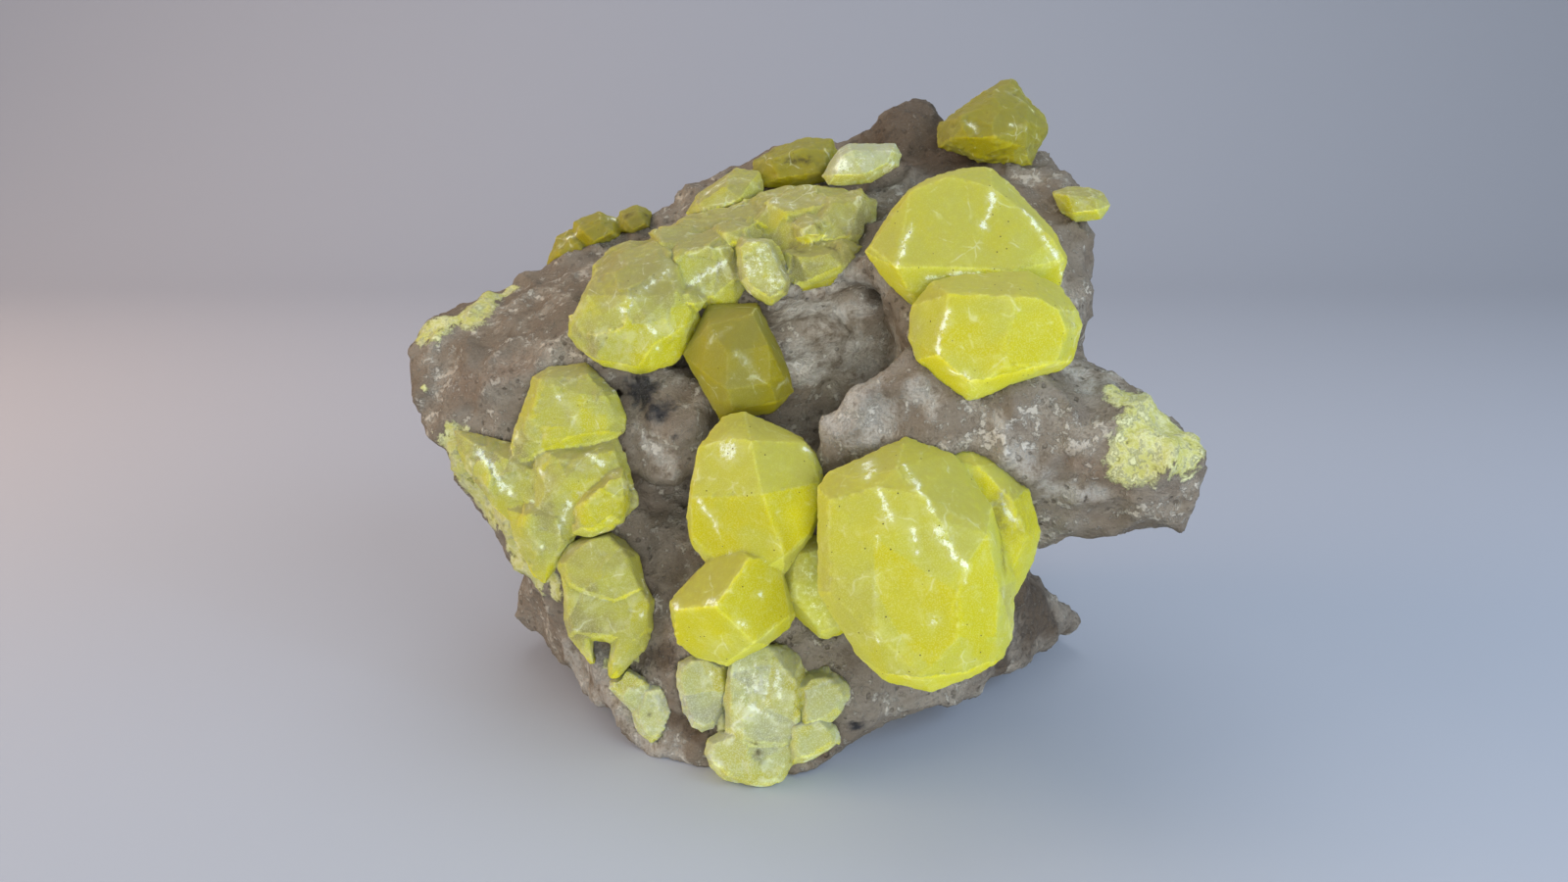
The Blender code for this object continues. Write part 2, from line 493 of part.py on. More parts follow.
LEFT = [
    {
        "piece": "leaf", "depth": 205, "root": 13, "taper": 0.7,
        "rim": [
            (-42.3, -0.8, -2.4), (-40.8, 3.3, -2.6), (-39.3, 7.5, -2.8), (-38.5, 10, -3),
            (-36, 11.5, -3.2), (-30, 12, -3.2), (-27.8, 9.9, -2.8), (-25.5, 7.2, -2.4),
            (-24.1, 3.8, -2.4), (-24.4, 1.3, -2.2), (-26.7, 0.1, -1.6), (-30, -1.2, -1.4),
            (-36, -2.1, -1.4), (-40.8, -3.3, -2),
        ],
        "face": [
            (-37.2, 9.3, 0), (-30, 10.2, 0.2), (-27.3, 6.9, 0.9), (-31.2, 7.2, 1.1), (-33.3, 0.6, 1.2),
            (-27.3, 1.5, 0.7), (-25.8, 3.8, 0.2), (-39, 3.8, 0.3), (-40, -0.3, 0.2),
        ],
    },
    {
        "piece": "streak", "depth": 208, "root": 11, "taper": 0.7,
        "rim": [
            (-50.7, 1.9, -2.4), (-47.1, 1.3, -2.2), (-43.2, 0, -1.8), (-39, -0.9, -1.2),
            (-35.1, -4.2, -0.8), (-35.1, -10.5, -0.6), (-39, -12.6, -1), (-42, -12.3, -1.4),
            (-44.4, -10, -1.8), (-47.1, -6.5, -2.2), (-49, -4.2, -2.4), (-50.1, -1.2, -2.4),
        ],
        "face": [
            (-47.7, -0.3, -0.2), (-43.8, -2.4, 0.8), (-39, -4.2, 1.7), (-38.2, -9.3, 1.6),
            (-42, -9.6, 0.8), (-45, -6, 0.6), (-47.7, -3.3, -0.2),
        ],
    },
    {
        "piece": "jumble", "depth": 205, "root": 13, "taper": 0.7,
        "rim": [
            (-37.8, -0.9, -1.6), (-30, -0.3, -1.4), (-25.5, 0.4, -2), (-24, -1.8, -2.2),
            (-22.8, -6, -2), (-22.2, -9.8, -2), (-24.3, -12, -1.6), (-30, -14.5, -1.2),
            (-34.8, -14.7, -1), (-37.8, -10.5, -1), (-38.7, -5.2, -1.2),
        ],
        "face": [
            (-34.5, -3, 1), (-30, -2.4, 1.4), (-26.1, -1.5, 0.8), (-24.9, -4.5, 0.8), (-27.6, -6, 1.7),
            (-31.8, -10.8, 1.5), (-35.5, -9.3, 1.6), (-33.3, -5.7, 2),
        ],
    },
    {
        "piece": "bright", "depth": 201, "root": 11, "taper": 0.7,
        "rim": [
            (-32.4, -14.2, -2.6), (-31.8, -10.5, -2.6), (-29.4, -6.9, -2.6), (-26.7, -4.5, -2.4),
            (-24.6, -3.9, -2.6), (-23.6, -6, -2.6), (-23.2, -9.3, -2.6), (-24.3, -12.6, -2.6),
            (-27.3, -14.1, -2.4), (-30, -14.8, -2.6),
        ],
        "face": [
            (-31.2, -13.2, -0.4), (-30, -9.3, 0.4), (-26.7, -5.7, 0.3), (-24.8, -5.4, -0.2),
            (-24.3, -8.7, -0.2), (-26.4, -11.4, 0.5), (-29.1, -13.3, 0.3),
        ],
    },
    {
        "piece": "lowest", "depth": 206, "root": 11, "taper": 0.7,
        "rim": [
            (-42.6, -10.5, -2), (-39, -8.7, -1.2), (-33.8, -9.3, -1), (-30.9, -13.2, -1.2),
            (-32.7, -16.8, -1.4), (-35.1, -20.1, -2), (-36.6, -21.9, -2.4), (-38.2, -20.7, -2.2),
            (-40.5, -17.1, -2.2), (-41.7, -13.8, -2.2),
        ],
        "face": [
            (-39, -11.4, 0.9), (-34.8, -11.7, 1.7), (-33.9, -15.3, 1.1), (-36.4, -19.5, 0),
            (-38.5, -16.5, 0.6),
        ],
    },
]

LOWERLEFT = [
    {
        "piece": "upper", "depth": 204, "root": 13, "taper": 0.7,
        "rim": [
            (-34.9, -18.9, -2.6), (-32.5, -15.8, -3), (-29.7, -14.2, -3.2), (-26.7, -13.7, -3.2),
            (-24.4, -15.3, -3.2), (-22.8, -17.7, -3), (-21.6, -21.3, -2.8), (-20.7, -23.4, -2.6),
            (-25.8, -25.2, -2), (-29.5, -23.4, -2), (-33.6, -23.1, -2.6),
        ],
        "face": [
            (-33.4, -18.6, 0.3), (-31.8, -16.6, 0.5), (-29.4, -15.3, 0.5), (-27, -14.8, 0.5),
            (-24, -18, 0.9), (-22.1, -22.6, 0.7), (-26.1, -24.3, 1.3), (-29.1, -22.2, 1.5),
            (-32.7, -21.6, 0.9),
        ],
    },
    {
        "piece": "body", "depth": 204, "root": 12, "taper": 0.7,
        "rim": [
            (-34.5, -19.5, -2.6), (-33.4, -26.2, -2.6), (-32.9, -29.8, -2.4), (-29.4, -29.2, -2.2),
            (-26.1, -28.8, -2.2), (-22.8, -31.8, -2.4), (-19.9, -28.9, -2.6), (-19.8, -24.4, -2.6),
            (-21.8, -21, -2.4), (-30, -19.5, -2),
        ],
        "face": [
            (-33.8, -21, -0.4), (-32.7, -25.8, -0.2), (-32.1, -28.8, -0.4), (-29.1, -28.2, 0),
            (-25.8, -27.6, 0.2), (-22.8, -30.4, -0.2), (-20.8, -28.5, -0.4), (-20.7, -24.8, 0),
            (-23.2, -21, 0.2),
        ],
    },
    {
        "piece": "right drip", "depth": 204, "root": 11, "taper": 0.75,
        "rim": [
            (-25.5, -25.5, -2), (-21, -26.2, -2.2), (-20.4, -30, -2.4), (-22.5, -31.8, -2.4),
            (-24, -33.4, -2.2), (-25.2, -36, -2), (-26.7, -36.3, -2), (-27.1, -34.2, -2),
            (-26.2, -30.8, -2),
        ],
        "face": [
            (-24.9, -28.5, 0), (-21.8, -29.2, -0.3), (-24, -32.2, -0.3), (-25.6, -35.1, -0.7),
            (-26.4, -34.2, -0.6), (-25.5, -30.8, -0.2),
        ],
    },
    {
        "piece": "left drip", "depth": 205, "root": 11, "taper": 0.75,
        "rim": [
            (-33.1, -27, -2.4), (-29.4, -27.3, -2), (-29.5, -30, -2), (-29.1, -32.7, -2),
            (-29.1, -34.2, -2), (-30, -33.4, -2), (-31.2, -31.5, -2.4), (-32.9, -30, -2.6),
        ],
        "face": [
            (-32.1, -28.2, 0.1), (-30.3, -28.5, 0.2), (-30.1, -30.8, -0.1), (-29.7, -32.5, -0.5),
            (-31.2, -30.6, -0.3),
        ],
    },
]

LOWCRUST = [
    {
        "piece": "one", "depth": 206, "root": 9, "taper": 0.8,
        "rim": [
            (-27, -37.8, -1.8), (-26.4, -35.4, -1.8), (-24.3, -34.4, -1.8), (-21.3, -36, -1.8),
            (-19.8, -38.2, -1.6), (-21, -41.7, -1.6), (-22.8, -42.3, -1.6), (-25.2, -39.9, -1.8),
        ],
        "face": [
            (-26.1, -37.6, 0.1), (-25.6, -36, 0.2), (-24, -35.2, 0.3), (-21.8, -36.6, 0.3),
            (-20.8, -38.4, 0.2), (-21.9, -40.9, 0.1), (-24.3, -39.3, 0.2),
        ],
    },
    {
        "piece": "two", "depth": 206, "root": 9, "taper": 0.8,
        "rim": [
            (-21.9, -37.5, -1.6), (-18.9, -37, -1.8), (-17.1, -38.5, -1.8), (-16.3, -41.1, -1.8),
            (-16.9, -43.5, -1.8), (-18.4, -45.9, -1.8), (-20.4, -46.5, -1.8), (-22.2, -44.7, -1.8),
            (-23.6, -41.7, -1.6),
        ],
        "face": [
            (-21, -38.5, 0.7), (-18.9, -37.9, 0.6), (-17.8, -39.1, 0.4), (-17.2, -41.1, 0.4),
            (-17.8, -43, 0.3), (-19.2, -44.9, 0.2), (-20.4, -45.4, 0.2), (-21.4, -43.9, 0.4),
            (-22.3, -41.9, 0.5),
        ],
    },
]

FOOTSMALL = [
    {
        "piece": "one", "depth": 200, "root": 12, "taper": 0.7,
        "rim": [
            (-16.6, -36, -2.4), (-16.1, -33.8, -2.4), (-14.4, -32.9, -2.4), (-11.7, -32.7, -2.4),
            (-8.8, -34, -2.2), (-8.2, -37.5, -2), (-9, -40.8, -2), (-10.3, -43.6, -2.2),
            (-12.6, -44.7, -2.2), (-14.2, -43.8, -2.4), (-15.4, -41.1, -2.4),
        ],
        "face": [
            (-15.8, -36.1, 0.3), (-15.1, -34.5, 0.3), (-14.1, -33.8, 0.4), (-11.8, -33.6, 0.6),
            (-9.8, -34.8, 0.6), (-9.3, -37.5, 0.4), (-9.9, -40.5, 0.3), (-10.9, -42.8, 0),
            (-12.6, -43.6, 0), (-13.7, -43, 0), (-14.7, -40.6, 0.2),
        ],
    },
]

FOOT = [
    {
        "piece": "plate", "depth": 197, "root": 12, "taper": 0.75,
        "rim": [
            (-8.7, -33.3, -2), (-7.9, -30.8, -2), (-5.4, -30.6, -2), (-2.1, -31.2, -2),
            (0.3, -31.6, -2.4), (2.7, -33, -2.4), (3.4, -36, -2.4), (3.3, -43.5, -2.2),
            (2.2, -46.2, -2), (-1.5, -47.7, -1.6), (-6, -47.1, -1.6), (-9.2, -44.2, -1.8),
            (-9, -39.3, -2),
        ],
        "face": [
            (-7.9, -33.4, 0.9), (-7.3, -31.5, 0.8), (-5.2, -31.3, 0.9), (-2.4, -31.9, 1.1),
            (-0.3, -34.4, 1.2), (1.5, -36.4, 1), (1.9, -39.8, 0.8), (1.9, -43.8, 0.6), (0.1, -46, 0.5),
            (-4.5, -46, 0.9), (-8.1, -43.8, 0.8), (-8.2, -39.3, 0.9),
        ],
    },
    {
        "piece": "lower", "depth": 198, "root": 11, "taper": 0.75,
        "rim": [
            (-12.3, -47.9, -2), (-11.8, -45.8, -2), (-9.8, -44.5, -1.8), (-3, -43.2, -1.2),
            (2.2, -45, -1.6), (2.7, -46.8, -1.8), (1.2, -49.5, -1.8), (-0.4, -52.4, -1.8),
            (-2.1, -53.4, -1.8), (-4.2, -53.2, -1.8), (-6.6, -52.5, -1.8), (-9, -51.1, -1.8),
            (-11.4, -49.8, -2),
        ],
        "face": [
            (-11.2, -47.5, 0.2), (-10.8, -46.4, 0.3), (-7.5, -45, 0.6), (0, -45.9, 0.8),
            (1.5, -46.9, 0.6), (0.3, -49.2, 0.5), (-1.2, -51.4, 0.3), (-2.4, -52.4, 0.2),
            (-4, -52.2, 0.2), (-6.1, -51.4, 0.3), (-8.4, -50.2, 0.3), (-10.5, -49, 0.3),
        ],
    },
    {
        "piece": "lobe", "depth": 196, "root": 12, "taper": 0.75,
        "rim": [
            (2.1, -37.5, -2.2), (3.8, -35.5, -2.2), (6.8, -35.7, -2.2), (8.7, -36.9, -2.2),
            (9.4, -38.7, -2.2), (8.5, -41.2, -2.2), (6.6, -43.2, -2.2), (2.7, -44.1, -1.8),
        ],
        "face": [
            (3, -37.9, 0.2), (4.2, -36.4, 0.2), (6.6, -36.6, 0.3), (7.9, -37.5, 0.2),
            (8.5, -38.9, 0.1), (7.8, -40.6, 0.1), (6.1, -42.1, 0.3), (3.6, -42.9, 0.5),
        ],
    },
    {
        "piece": "low lobe", "depth": 196, "root": 12, "taper": 0.75,
        "rim": [
            (0.9, -43.2, -2), (5.7, -42.1, -2), (7.6, -43.9, -2.2), (8.1, -46, -2.2),
            (6.5, -47.7, -2.2), (4, -48.8, -2.2), (1.2, -49.5, -2),
        ],
        "face": [
            (1.8, -44.1, 0.3), (5.4, -43, 0.3), (6.8, -44.4, 0.1), (7.2, -45.9, 0), (5.8, -46.9, 0),
            (3.9, -47.9, 0), (1.8, -48.3, 0.1),
        ],
    },
]

# The rock's foot and back in x, y and z millimetres: the foot goes a little deeper than the flat
# cut, and the back is a wall with three broken steps on it.
BACK_BLOCKS = {
    "footing": [
        (-38, 8, -3), (-33, 40, -3), (-5, 45, -3), (28, 42, -3), (42, 14, -3), (28, -6, -3),
        (16, -16, -3), (6, -24, -3), (-1, -34, -3), (-10, -34, -3), (-18, -28, -3), (-32, -10, -3),
        (-34, 10, 24), (-30, 38, 28), (30, 40, 28), (38, 12, 22), (10, -22, 16), (-18, -22, 16),
    ],
    "wall": [
        (-36, 36, -3), (-8, 44, -3), (30, 42, -3), (44, 20, -3), (-44, 16, -3), (-50, 26, 44),
        (-20, 44, 50), (22, 46, 54), (44, 34, 50), (50, 14, 46), (-34, 32, 66), (0, 48, 76),
        (36, 44, 80), (0, 10, 40),
    ],
    "low step": [
        (-47, 28, 6), (-26, 47, 2), (-12, 50, 8), (-16, 49, 27), (-30, 45, 34), (-50, 27, 29),
        (-34, 24, -3), (-10, 40, -3), (-20, 20, 15),
    ],
    "middle step": [
        (6, 51, 30), (30, 50, 24), (42, 40, 34), (38, 41, 52), (14, 53, 56), (0, 49, 44),
        (20, 30, 40),
    ],
    "high step": [
        (-36, 36, 56), (-22, 46, 50), (-8, 52, 60), (-6, 52, 74), (-30, 36, 72), (-10, 30, 62),
    ],
}

# Node name, the crystals that make it, the colour it has, and the finished neighbours that it
# has grown against.
CRYSTAL_NODES = [
    ("front_twin", FRONT_TWIN, SULFUR_FINISH, []),
    ("centre_crystals", CENTRE, SULFUR_FINISH, ["front_twin"]),
    ("shoulder_pair", PAIR, SULFUR_FINISH, []),
    ("hollow_crystal", HOLLOW, SULFUR_FINISH, ["centre_crystals"]),
    ("upper_crust", CRUST, SULFUR_FINISH, ["hollow_crystal", "shoulder_pair"]),
    ("pale_blade", BLADE, PALE_FINISH, ["upper_crust"]),
    ("ridge_left_crystal", RIDGE_LEFT, SULFUR_FINISH, ["upper_crust"]),
    ("ridge_right_crystal", RIDGE_RIGHT, SULFUR_FINISH, ["upper_crust", "pale_blade"]),
    ("summit_crystal", SUMMIT, SULFUR_FINISH, ["shoulder_pair"]),
    ("edge_crystal", EDGE, SULFUR_FINISH, ["shoulder_pair"]),
    ("back_left_crystals", BACK, SULFUR_FINISH, ["upper_crust"]),
    ("left_rim_crystals", LEFT, SULFUR_FINISH, ["upper_crust"]),
    ("lower_left_crystal", LOWERLEFT, SULFUR_FINISH, ["left_rim_crystals"]),
    ("low_left_crust", LOWCRUST, PALE_FINISH, ["lower_left_crystal"]),
    ("foot_small_crystal", FOOTSMALL, PALE_FINISH, ["centre_crystals", "low_left_crust"]),
    ("foot_plates", FOOT, PALE_FINISH, ["centre_crystals", "foot_small_crystal", "front_twin"]),
]


def clear_scene():
    """Remove whatever the file opened with."""
    for thing in list(bpy.data.objects):
        bpy.data.objects.remove(thing, do_unlink=True)


def new_collection(name):
    """A collection linked to the scene."""
    group = bpy.data.collections.new(name)
    bpy.context.scene.collection.children.link(group)
    return group


def finish(name, look):
    """A plain material with the piece's colour and roughness."""
    colour, roughness = look
    material = bpy.data.materials.new(name)
    material.use_nodes = True
    shader = material.node_tree.nodes["Principled BSDF"]
    shader.inputs["Base Color"].default_value = (*colour, 1.0)
    shader.inputs["Roughness"].default_value = roughness
    shader.inputs["Metallic"].default_value = 0.0
    return material


def eye():
    """Where the eye is, in metres."""
    return Vector((0.0, -EYE_DISTANCE, EYE_HEIGHT)) * MM


def spot(across, up, depth):
    """The point seen at (across, up) on the sheet, at this depth along the eye's axis."""
    forward = Vector((0.0, math.cos(EYE_TILT), -math.sin(EYE_TILT)))
    upward = Vector((0.0, math.sin(EYE_TILT), math.cos(EYE_TILT)))
    aim = forward + Vector((across / SHEET, 0.0, 0.0)) + upward * (up / SHEET)
    return eye() + aim * depth * MM


def hull(shape, corners):
    """Add the convex solid around these corners to a bmesh."""
    marks = [shape.verts.new(corner) for corner in corners]
    made = bmesh.ops.convex_hull(shape, input=marks)
    inside = {v for v in made["geom_interior"] if isinstance(v, bmesh.types.BMVert)}
    unused = {v for v in made["geom_unused"] if isinstance(v, bmesh.types.BMVert)}
    spare = [v for v in inside | unused if v.is_valid and not v.link_faces]
    bmesh.ops.delete(shape, geom=spare, context="VERTS")


def mesh_object(name, shape, group, material=None):
    """An object in a collection from a bmesh, which it frees."""
    bmesh.ops.recalc_face_normals(shape, faces=shape.faces)
    mesh = bpy.data.meshes.new(name)
    shape.to_mesh(mesh)
    shape.free()
    thing = bpy.data.objects.new(name, mesh)
    group.objects.link(thing)
    if material:
        mesh.materials.append(material)
    return thing


def evaluated(thing):
    """A bmesh of an object as its modifiers leave it."""
    graph = bpy.context.evaluated_depsgraph_get()
    shape = bmesh.new()
    shape.from_mesh(thing.evaluated_get(graph).to_mesh())
    thing.evaluated_get(graph).to_mesh_clear()
    return shape


def bake(thing, shape=None):
    """Replace an object's mesh and modifiers with what they make."""
    shape = shape or evaluated(thing)
    thing.modifiers.clear()
    shape.to_mesh(thing.data)
    shape.free()
    thing.data.update()


def combine(thing, other, operation, solver="EXACT"):
    """Add a Boolean of another object to this one."""
    step = thing.modifiers.new(operation.lower() + "_" + other.name, "BOOLEAN")
    step.operation = operation
    step.solver = solver
    step.object = other


def cutter(thing):
    """Mark an object as a tool that the build leaves out."""
    thing.hide_render = True
    thing.display_type = "WIRE"


def crystal_corners(crystal):
    """A crystal's corners: its rim, its face towards the eye, and its root in the rock."""
    rim = crystal["rim"]
    depth = crystal["depth"]
    corners = [spot(x, z, depth - out) for x, z, out in rim + crystal["face"]]
    middle_x = sum(x for x, z, out in rim) / len(rim)
    middle_z = sum(z for x, z, out in rim) / len(rim)
    for x, z, out in rim[::2]:
        across = middle_x + (x - middle_x) * crystal["taper"]
        up = middle_z + (z - middle_z) * crystal["taper"]
        corners.append(spot(across, up, depth + crystal["root"]))
    return corners


def crystal_solid(crystal):
    """A bmesh of one crystal, with its nearly flat stretches made one facet."""
    shape = bmesh.new()
    hull(shape, crystal_corners(crystal))
    flat = math.radians(FACET_ANGLE)
    bmesh.ops.dissolve_limit(shape, angle_limit=flat, verts=shape.verts, edges=shape.edges)
    bmesh.ops.triangulate(shape, faces=shape.faces)
    return shape


def crystal_room(crystal):
    """A bmesh of the room a crystal needs: the crystal swelled until every facet is clear."""
    shape = crystal_solid(crystal)
    bmesh.ops.recalc_face_normals(shape, faces=shape.faces)
    low = [min(v.co[i] for v in shape.verts) for i in range(3)]
    high = [max(v.co[i] for v in shape.verts) for i in range(3)]
    middle = (Vector(low) + Vector(high)) / 2
    nearest = min((face.calc_center_median() - middle).dot(face.normal) for face in shape.faces)
    swell = 1.0 + GAP * MM / nearest
    for v in shape.verts:
        v.co = middle + (v.co - middle) * swell
    return shape


def cut_off(shape, place, normal):
    """Cut a closed bmesh by a plane, drop what lies beyond it and close the cut."""
    everything = shape.verts[:] + shape.edges[:] + shape.faces[:]
    cut = bmesh.ops.bisect_plane(
        shape, geom=everything, dist=1e-7, plane_co=place, plane_no=normal, clear_outer=True
    )
    rim = [edge for edge in cut["geom_cut"] if isinstance(edge, bmesh.types.BMEdge)]
    bmesh.ops.holes_fill(shape, edges=rim, sides=0)
    return shape


def union(name, shapes, group, tools, material=None):
    """One object from several overlapping bmeshes."""
    pieces = []
    for number, shape in enumerate(shapes):
        if number:
            pieces.append(mesh_object(f"{name}_join_{number}", shape, tools))
            cutter(pieces[-1])
        else:
            whole = mesh_object(name, shape, group, material)
    for other in pieces:
        combine(whole, other, "UNION")
    bake(whole)
    return whole


def largest_piece(shape):
    """Delete all but the largest piece of a bmesh whose faces meet along edges."""
    left = set(shape.faces)
    islands = []
    while left:
        start = left.pop()
        island = {start}
        border = [start]
        while border:
            face = border.pop()
            for edge in face.edges:
                for other in edge.link_faces:
                    if other in left:
                        left.discard(other)
                        island.add(other)
                        border.append(other)
        islands.append(island)
    islands.sort(key=len)
    for island in islands[:-1]:
        bmesh.ops.delete(shape, geom=list(island), context="FACES")
    return shape


def texture(name, kind, size):
    """A procedural texture for a Displace modifier."""
    pattern = bpy.data.textures.new(name, kind)
    pattern.noise_scale = size * MM
    return pattern


def displace(thing, pattern, height):
    """Raise and lower an object's surface by a texture."""
    step = thing.modifiers.new("displace_" + pattern.name, "DISPLACE")
    step.texture = pattern
    step.texture_coords = "LOCAL"
    step.strength = height * MM
    step.mid_level = 0.5


def remesh(thing, size):
    """Fuse an object's overlapping shells into one skin."""
    step = thing.modifiers.new("remesh", "REMESH")
    step.mode = "VOXEL"
    step.voxel_size = size * MM


def stand_off(shape, height):
    """Cut a closed bmesh off flat at this height in millimetres, and close it."""
    cut_off(shape, Vector((0.0, 0.0, height * MM)), Vector((0.0, 0.0, -1.0)))
    bmesh.ops.triangulate(shape, faces=shape.faces)
    bmesh.ops.recalc_face_normals(shape, faces=shape.faces)
    return shape


def rock(group, tools):
    """The limestone: overlapping blocks fused, hollowed, weathered and cut flat below."""
    shape = bmesh.new()
    for corners in ROCK_BLOCKS.values():
        hull(shape, [spot(*corner) for corner in corners])
    for corners in BACK_BLOCKS.values():
        hull(shape, [Vector(corner) * MM for corner in corners])
    stone = mesh_object("matrix", shape, group, finish("limestone", ROCK_FINISH))
    remesh(stone, ROCK_VOXEL)
    bake(stone)
    for name, corners in ROCK_BITES.items():
        shape = bmesh.new()
        hull(shape, [spot(*corner) for corner in corners])
        bite = mesh_object(name, shape, tools)
        cutter(bite)
        combine(stone, bite, "DIFFERENCE")
    remesh(stone, ROCK_VOXEL)
    step = stone.modifiers.new("weathering", "SMOOTH")
    step.iterations = ROCK_SMOOTHING
    step.factor = 0.5
    lumps = texture("lumps", "CLOUDS", LUMP_SIZE)
    displace(stone, lumps, LUMP_HEIGHT)
    ledges = texture("ledges", "VORONOI", LEDGE_SIZE)
    displace(stone, ledges, LEDGE_HEIGHT)
    remesh(stone, ROCK_VOXEL)
    bake(stone)
    thin = stone.modifiers.new("thin", "DECIMATE")
    thin.ratio = ROCK_FACES / (2.0 * len(stone.data.polygons))
    shape = largest_piece(evaluated(stone))
    everything = shape.verts[:] + shape.edges[:] + shape.faces[:]
    bake(stone, stand_off(shape, 0.0))
    return stone


def stand(nodes):
    """Centre the whole specimen over the origin by an empty that carries every node."""
    corners = [v.co for node in nodes for v in node.data.vertices]
    low = [min(c[i] for c in corners) for i in range(3)]
    high = [max(c[i] for c in corners) for i in range(3)]
    stand_empty = bpy.data.objects.new("specimen_centre", None)
    bpy.context.scene.collection.objects.link(stand_empty)
    shift = Vector((-(low[0] + high[0]) / 2, -(low[1] + high[1]) / 2, -low[2]))
    for node in nodes:
        node.parent = stand_empty
    stand_empty.location = shift
    print("low", [round(c / MM, 1) for c in low], "high", [round(c / MM, 1) for c in high])
    print("shift", [round(c / MM, 2) for c in shift])


def main():
    clear_scene()
    group = new_collection("native_sulfur")
    tools = new_collection("cutters")
    nodes = {}
    sockets = {}
    for name, crystals, look, neighbours in CRYSTAL_NODES:
        solids = [crystal_solid(crystal) for crystal in crystals]
        node = union(name, solids, group, tools, finish(name, look))
        rooms = [crystal_room(crystal) for crystal in crystals]
        sockets[name] = union("socket_" + name, rooms, tools, tools)
        cutter(sockets[name])
        for other in neighbours:
            combine(node, sockets[other], "DIFFERENCE")
        bake(node, stand_off(largest_piece(evaluated(node)), GROUND_GAP))
        nodes[name] = node
    stone = rock(group, tools)
    for room in sockets.values():
        combine(stone, room, "DIFFERENCE", "MANIFOLD")
    shape = largest_piece(evaluated(stone))
    bmesh.ops.triangulate(shape, faces=shape.faces)
    bake(stone, shape)
    stand([stone, *nodes.values()])
    for node in [stone, *nodes.values()]:
        print(node.name, len(node.data.polygons))


main()
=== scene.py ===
# %% [markdown]
# # Yellow sulfur crystals on a block of limestone
# The object is a cabinet specimen, about 13 cm wide: a hollowed lump of grey-brown limestone
# with fat yellow sulfur crystals grown over its front and along its top edge. The frame already
# holds the rock and every crystal at its true size and place, as plain faceted solids. This
# lesson dresses them. Each solid gets a new fine skin with worn edges, chips, pits and crusts,
# and then a stone or sulfur finish that is made only of procedural nodes.

# %% The tools and the frame
import math

import bmesh
import bpy
import numpy as np
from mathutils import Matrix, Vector, noise
from mathutils.bvhtree import BVHTree
from mathutils.kdtree import KDTree


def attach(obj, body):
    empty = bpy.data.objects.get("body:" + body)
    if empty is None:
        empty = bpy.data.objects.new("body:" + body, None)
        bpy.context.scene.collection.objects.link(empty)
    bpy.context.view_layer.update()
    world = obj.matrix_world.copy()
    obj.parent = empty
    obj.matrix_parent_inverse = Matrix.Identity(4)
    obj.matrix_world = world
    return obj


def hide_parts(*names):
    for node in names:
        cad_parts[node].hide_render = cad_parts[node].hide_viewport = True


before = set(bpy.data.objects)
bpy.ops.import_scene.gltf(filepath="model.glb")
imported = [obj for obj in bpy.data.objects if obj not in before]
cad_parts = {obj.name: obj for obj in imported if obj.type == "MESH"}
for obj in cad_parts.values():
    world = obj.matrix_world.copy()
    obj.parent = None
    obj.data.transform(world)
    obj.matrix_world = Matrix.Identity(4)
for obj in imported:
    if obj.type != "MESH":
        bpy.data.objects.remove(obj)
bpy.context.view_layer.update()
MM = 0.001

# %% [markdown]
# ## Where the viewer stands
# The specimen is looked at from close by and a little from above, with a wide lens, so its near
# crystals look large. The eye is a point in the frame, and a flat sheet stands 187 mm in front
# of it, at right angles to the line of sight. Any place on the specimen can then be named by
# the two distances, across and up in millimetres, at which its line of sight crosses the sheet.
# The marks on the crystals are placed that way further down.

# %% The eye, the sheet and the camera
EYE = Vector((1.84, -210.30, 114)) * MM
EYE_TILT = math.radians(17.6)
SHEET = 186.66
LENS = 28
SENSOR = 36

RIGHT = Vector((1, 0, 0))
FORWARD = Vector((0, math.cos(EYE_TILT), -math.sin(EYE_TILT)))
UP = RIGHT.cross(FORWARD)

camera = bpy.data.objects.new("camera", bpy.data.cameras.new("camera"))
bpy.context.scene.collection.objects.link(camera)
camera.location = EYE
camera.rotation_euler = (math.radians(90) - EYE_TILT, 0, 0)
camera.data.lens = LENS
camera.data.sensor_width = SENSOR
camera.data.clip_start = 0.01
bpy.context.scene.camera = camera


def sight(across, up):
    """The direction from the eye through a point of the sheet."""
    return (FORWARD * SHEET + RIGHT * across + UP * up).normalized()


field = round(math.degrees(camera.data.angle))
print("eye", [round(c / MM) for c in EYE], "mm, field", field, "degrees")

# %% [markdown]
# ## Room and light
# A waxy crystal shows its shape by soft, broad light. A cool lamp stands high on the right, a
# low one in front reaches into the rock's hollow, a warm one fills from the left, and one
# lights the top from behind. Two more tint the floor, warm at the back left and cool at the
# right. The floor is a plain sheet that curves up behind, so that no horizon line shows. It
# starts as one edge, is extruded backwards and then up, and its fold is bevelled round.

# %% Floor with a curved back
FLOOR_NEAR = -0.9
FLOOR_BACK = 0.75
FLOOR_SIDE = 1.6
BACK_HEIGHT = 1.3
FOLD_RADIUS = 0.35
FOLD_STEPS = 24


def extrude_to(shape, edge, step):
    """Pull an edge by a step, and give back the new edge."""
    made = bmesh.ops.extrude_edge_only(shape, edges=[edge])["geom"]
    corners = [g for g in made if isinstance(g, bmesh.types.BMVert)]
    bmesh.ops.translate(shape, verts=corners, vec=step)
    edges = [g for g in made if isinstance(g, bmesh.types.BMEdge)]
    return next(g for g in edges if all(v in corners for v in g.verts))


def new_object(name, shape):
    """Turn a bmesh into an object at the origin."""
    mesh = bpy.data.meshes.new(name)
    shape.to_mesh(mesh)
    shape.free()
    mesh.shade_smooth()
    thing = bpy.data.objects.new(name, mesh)
    bpy.context.scene.collection.objects.link(thing)
    return thing


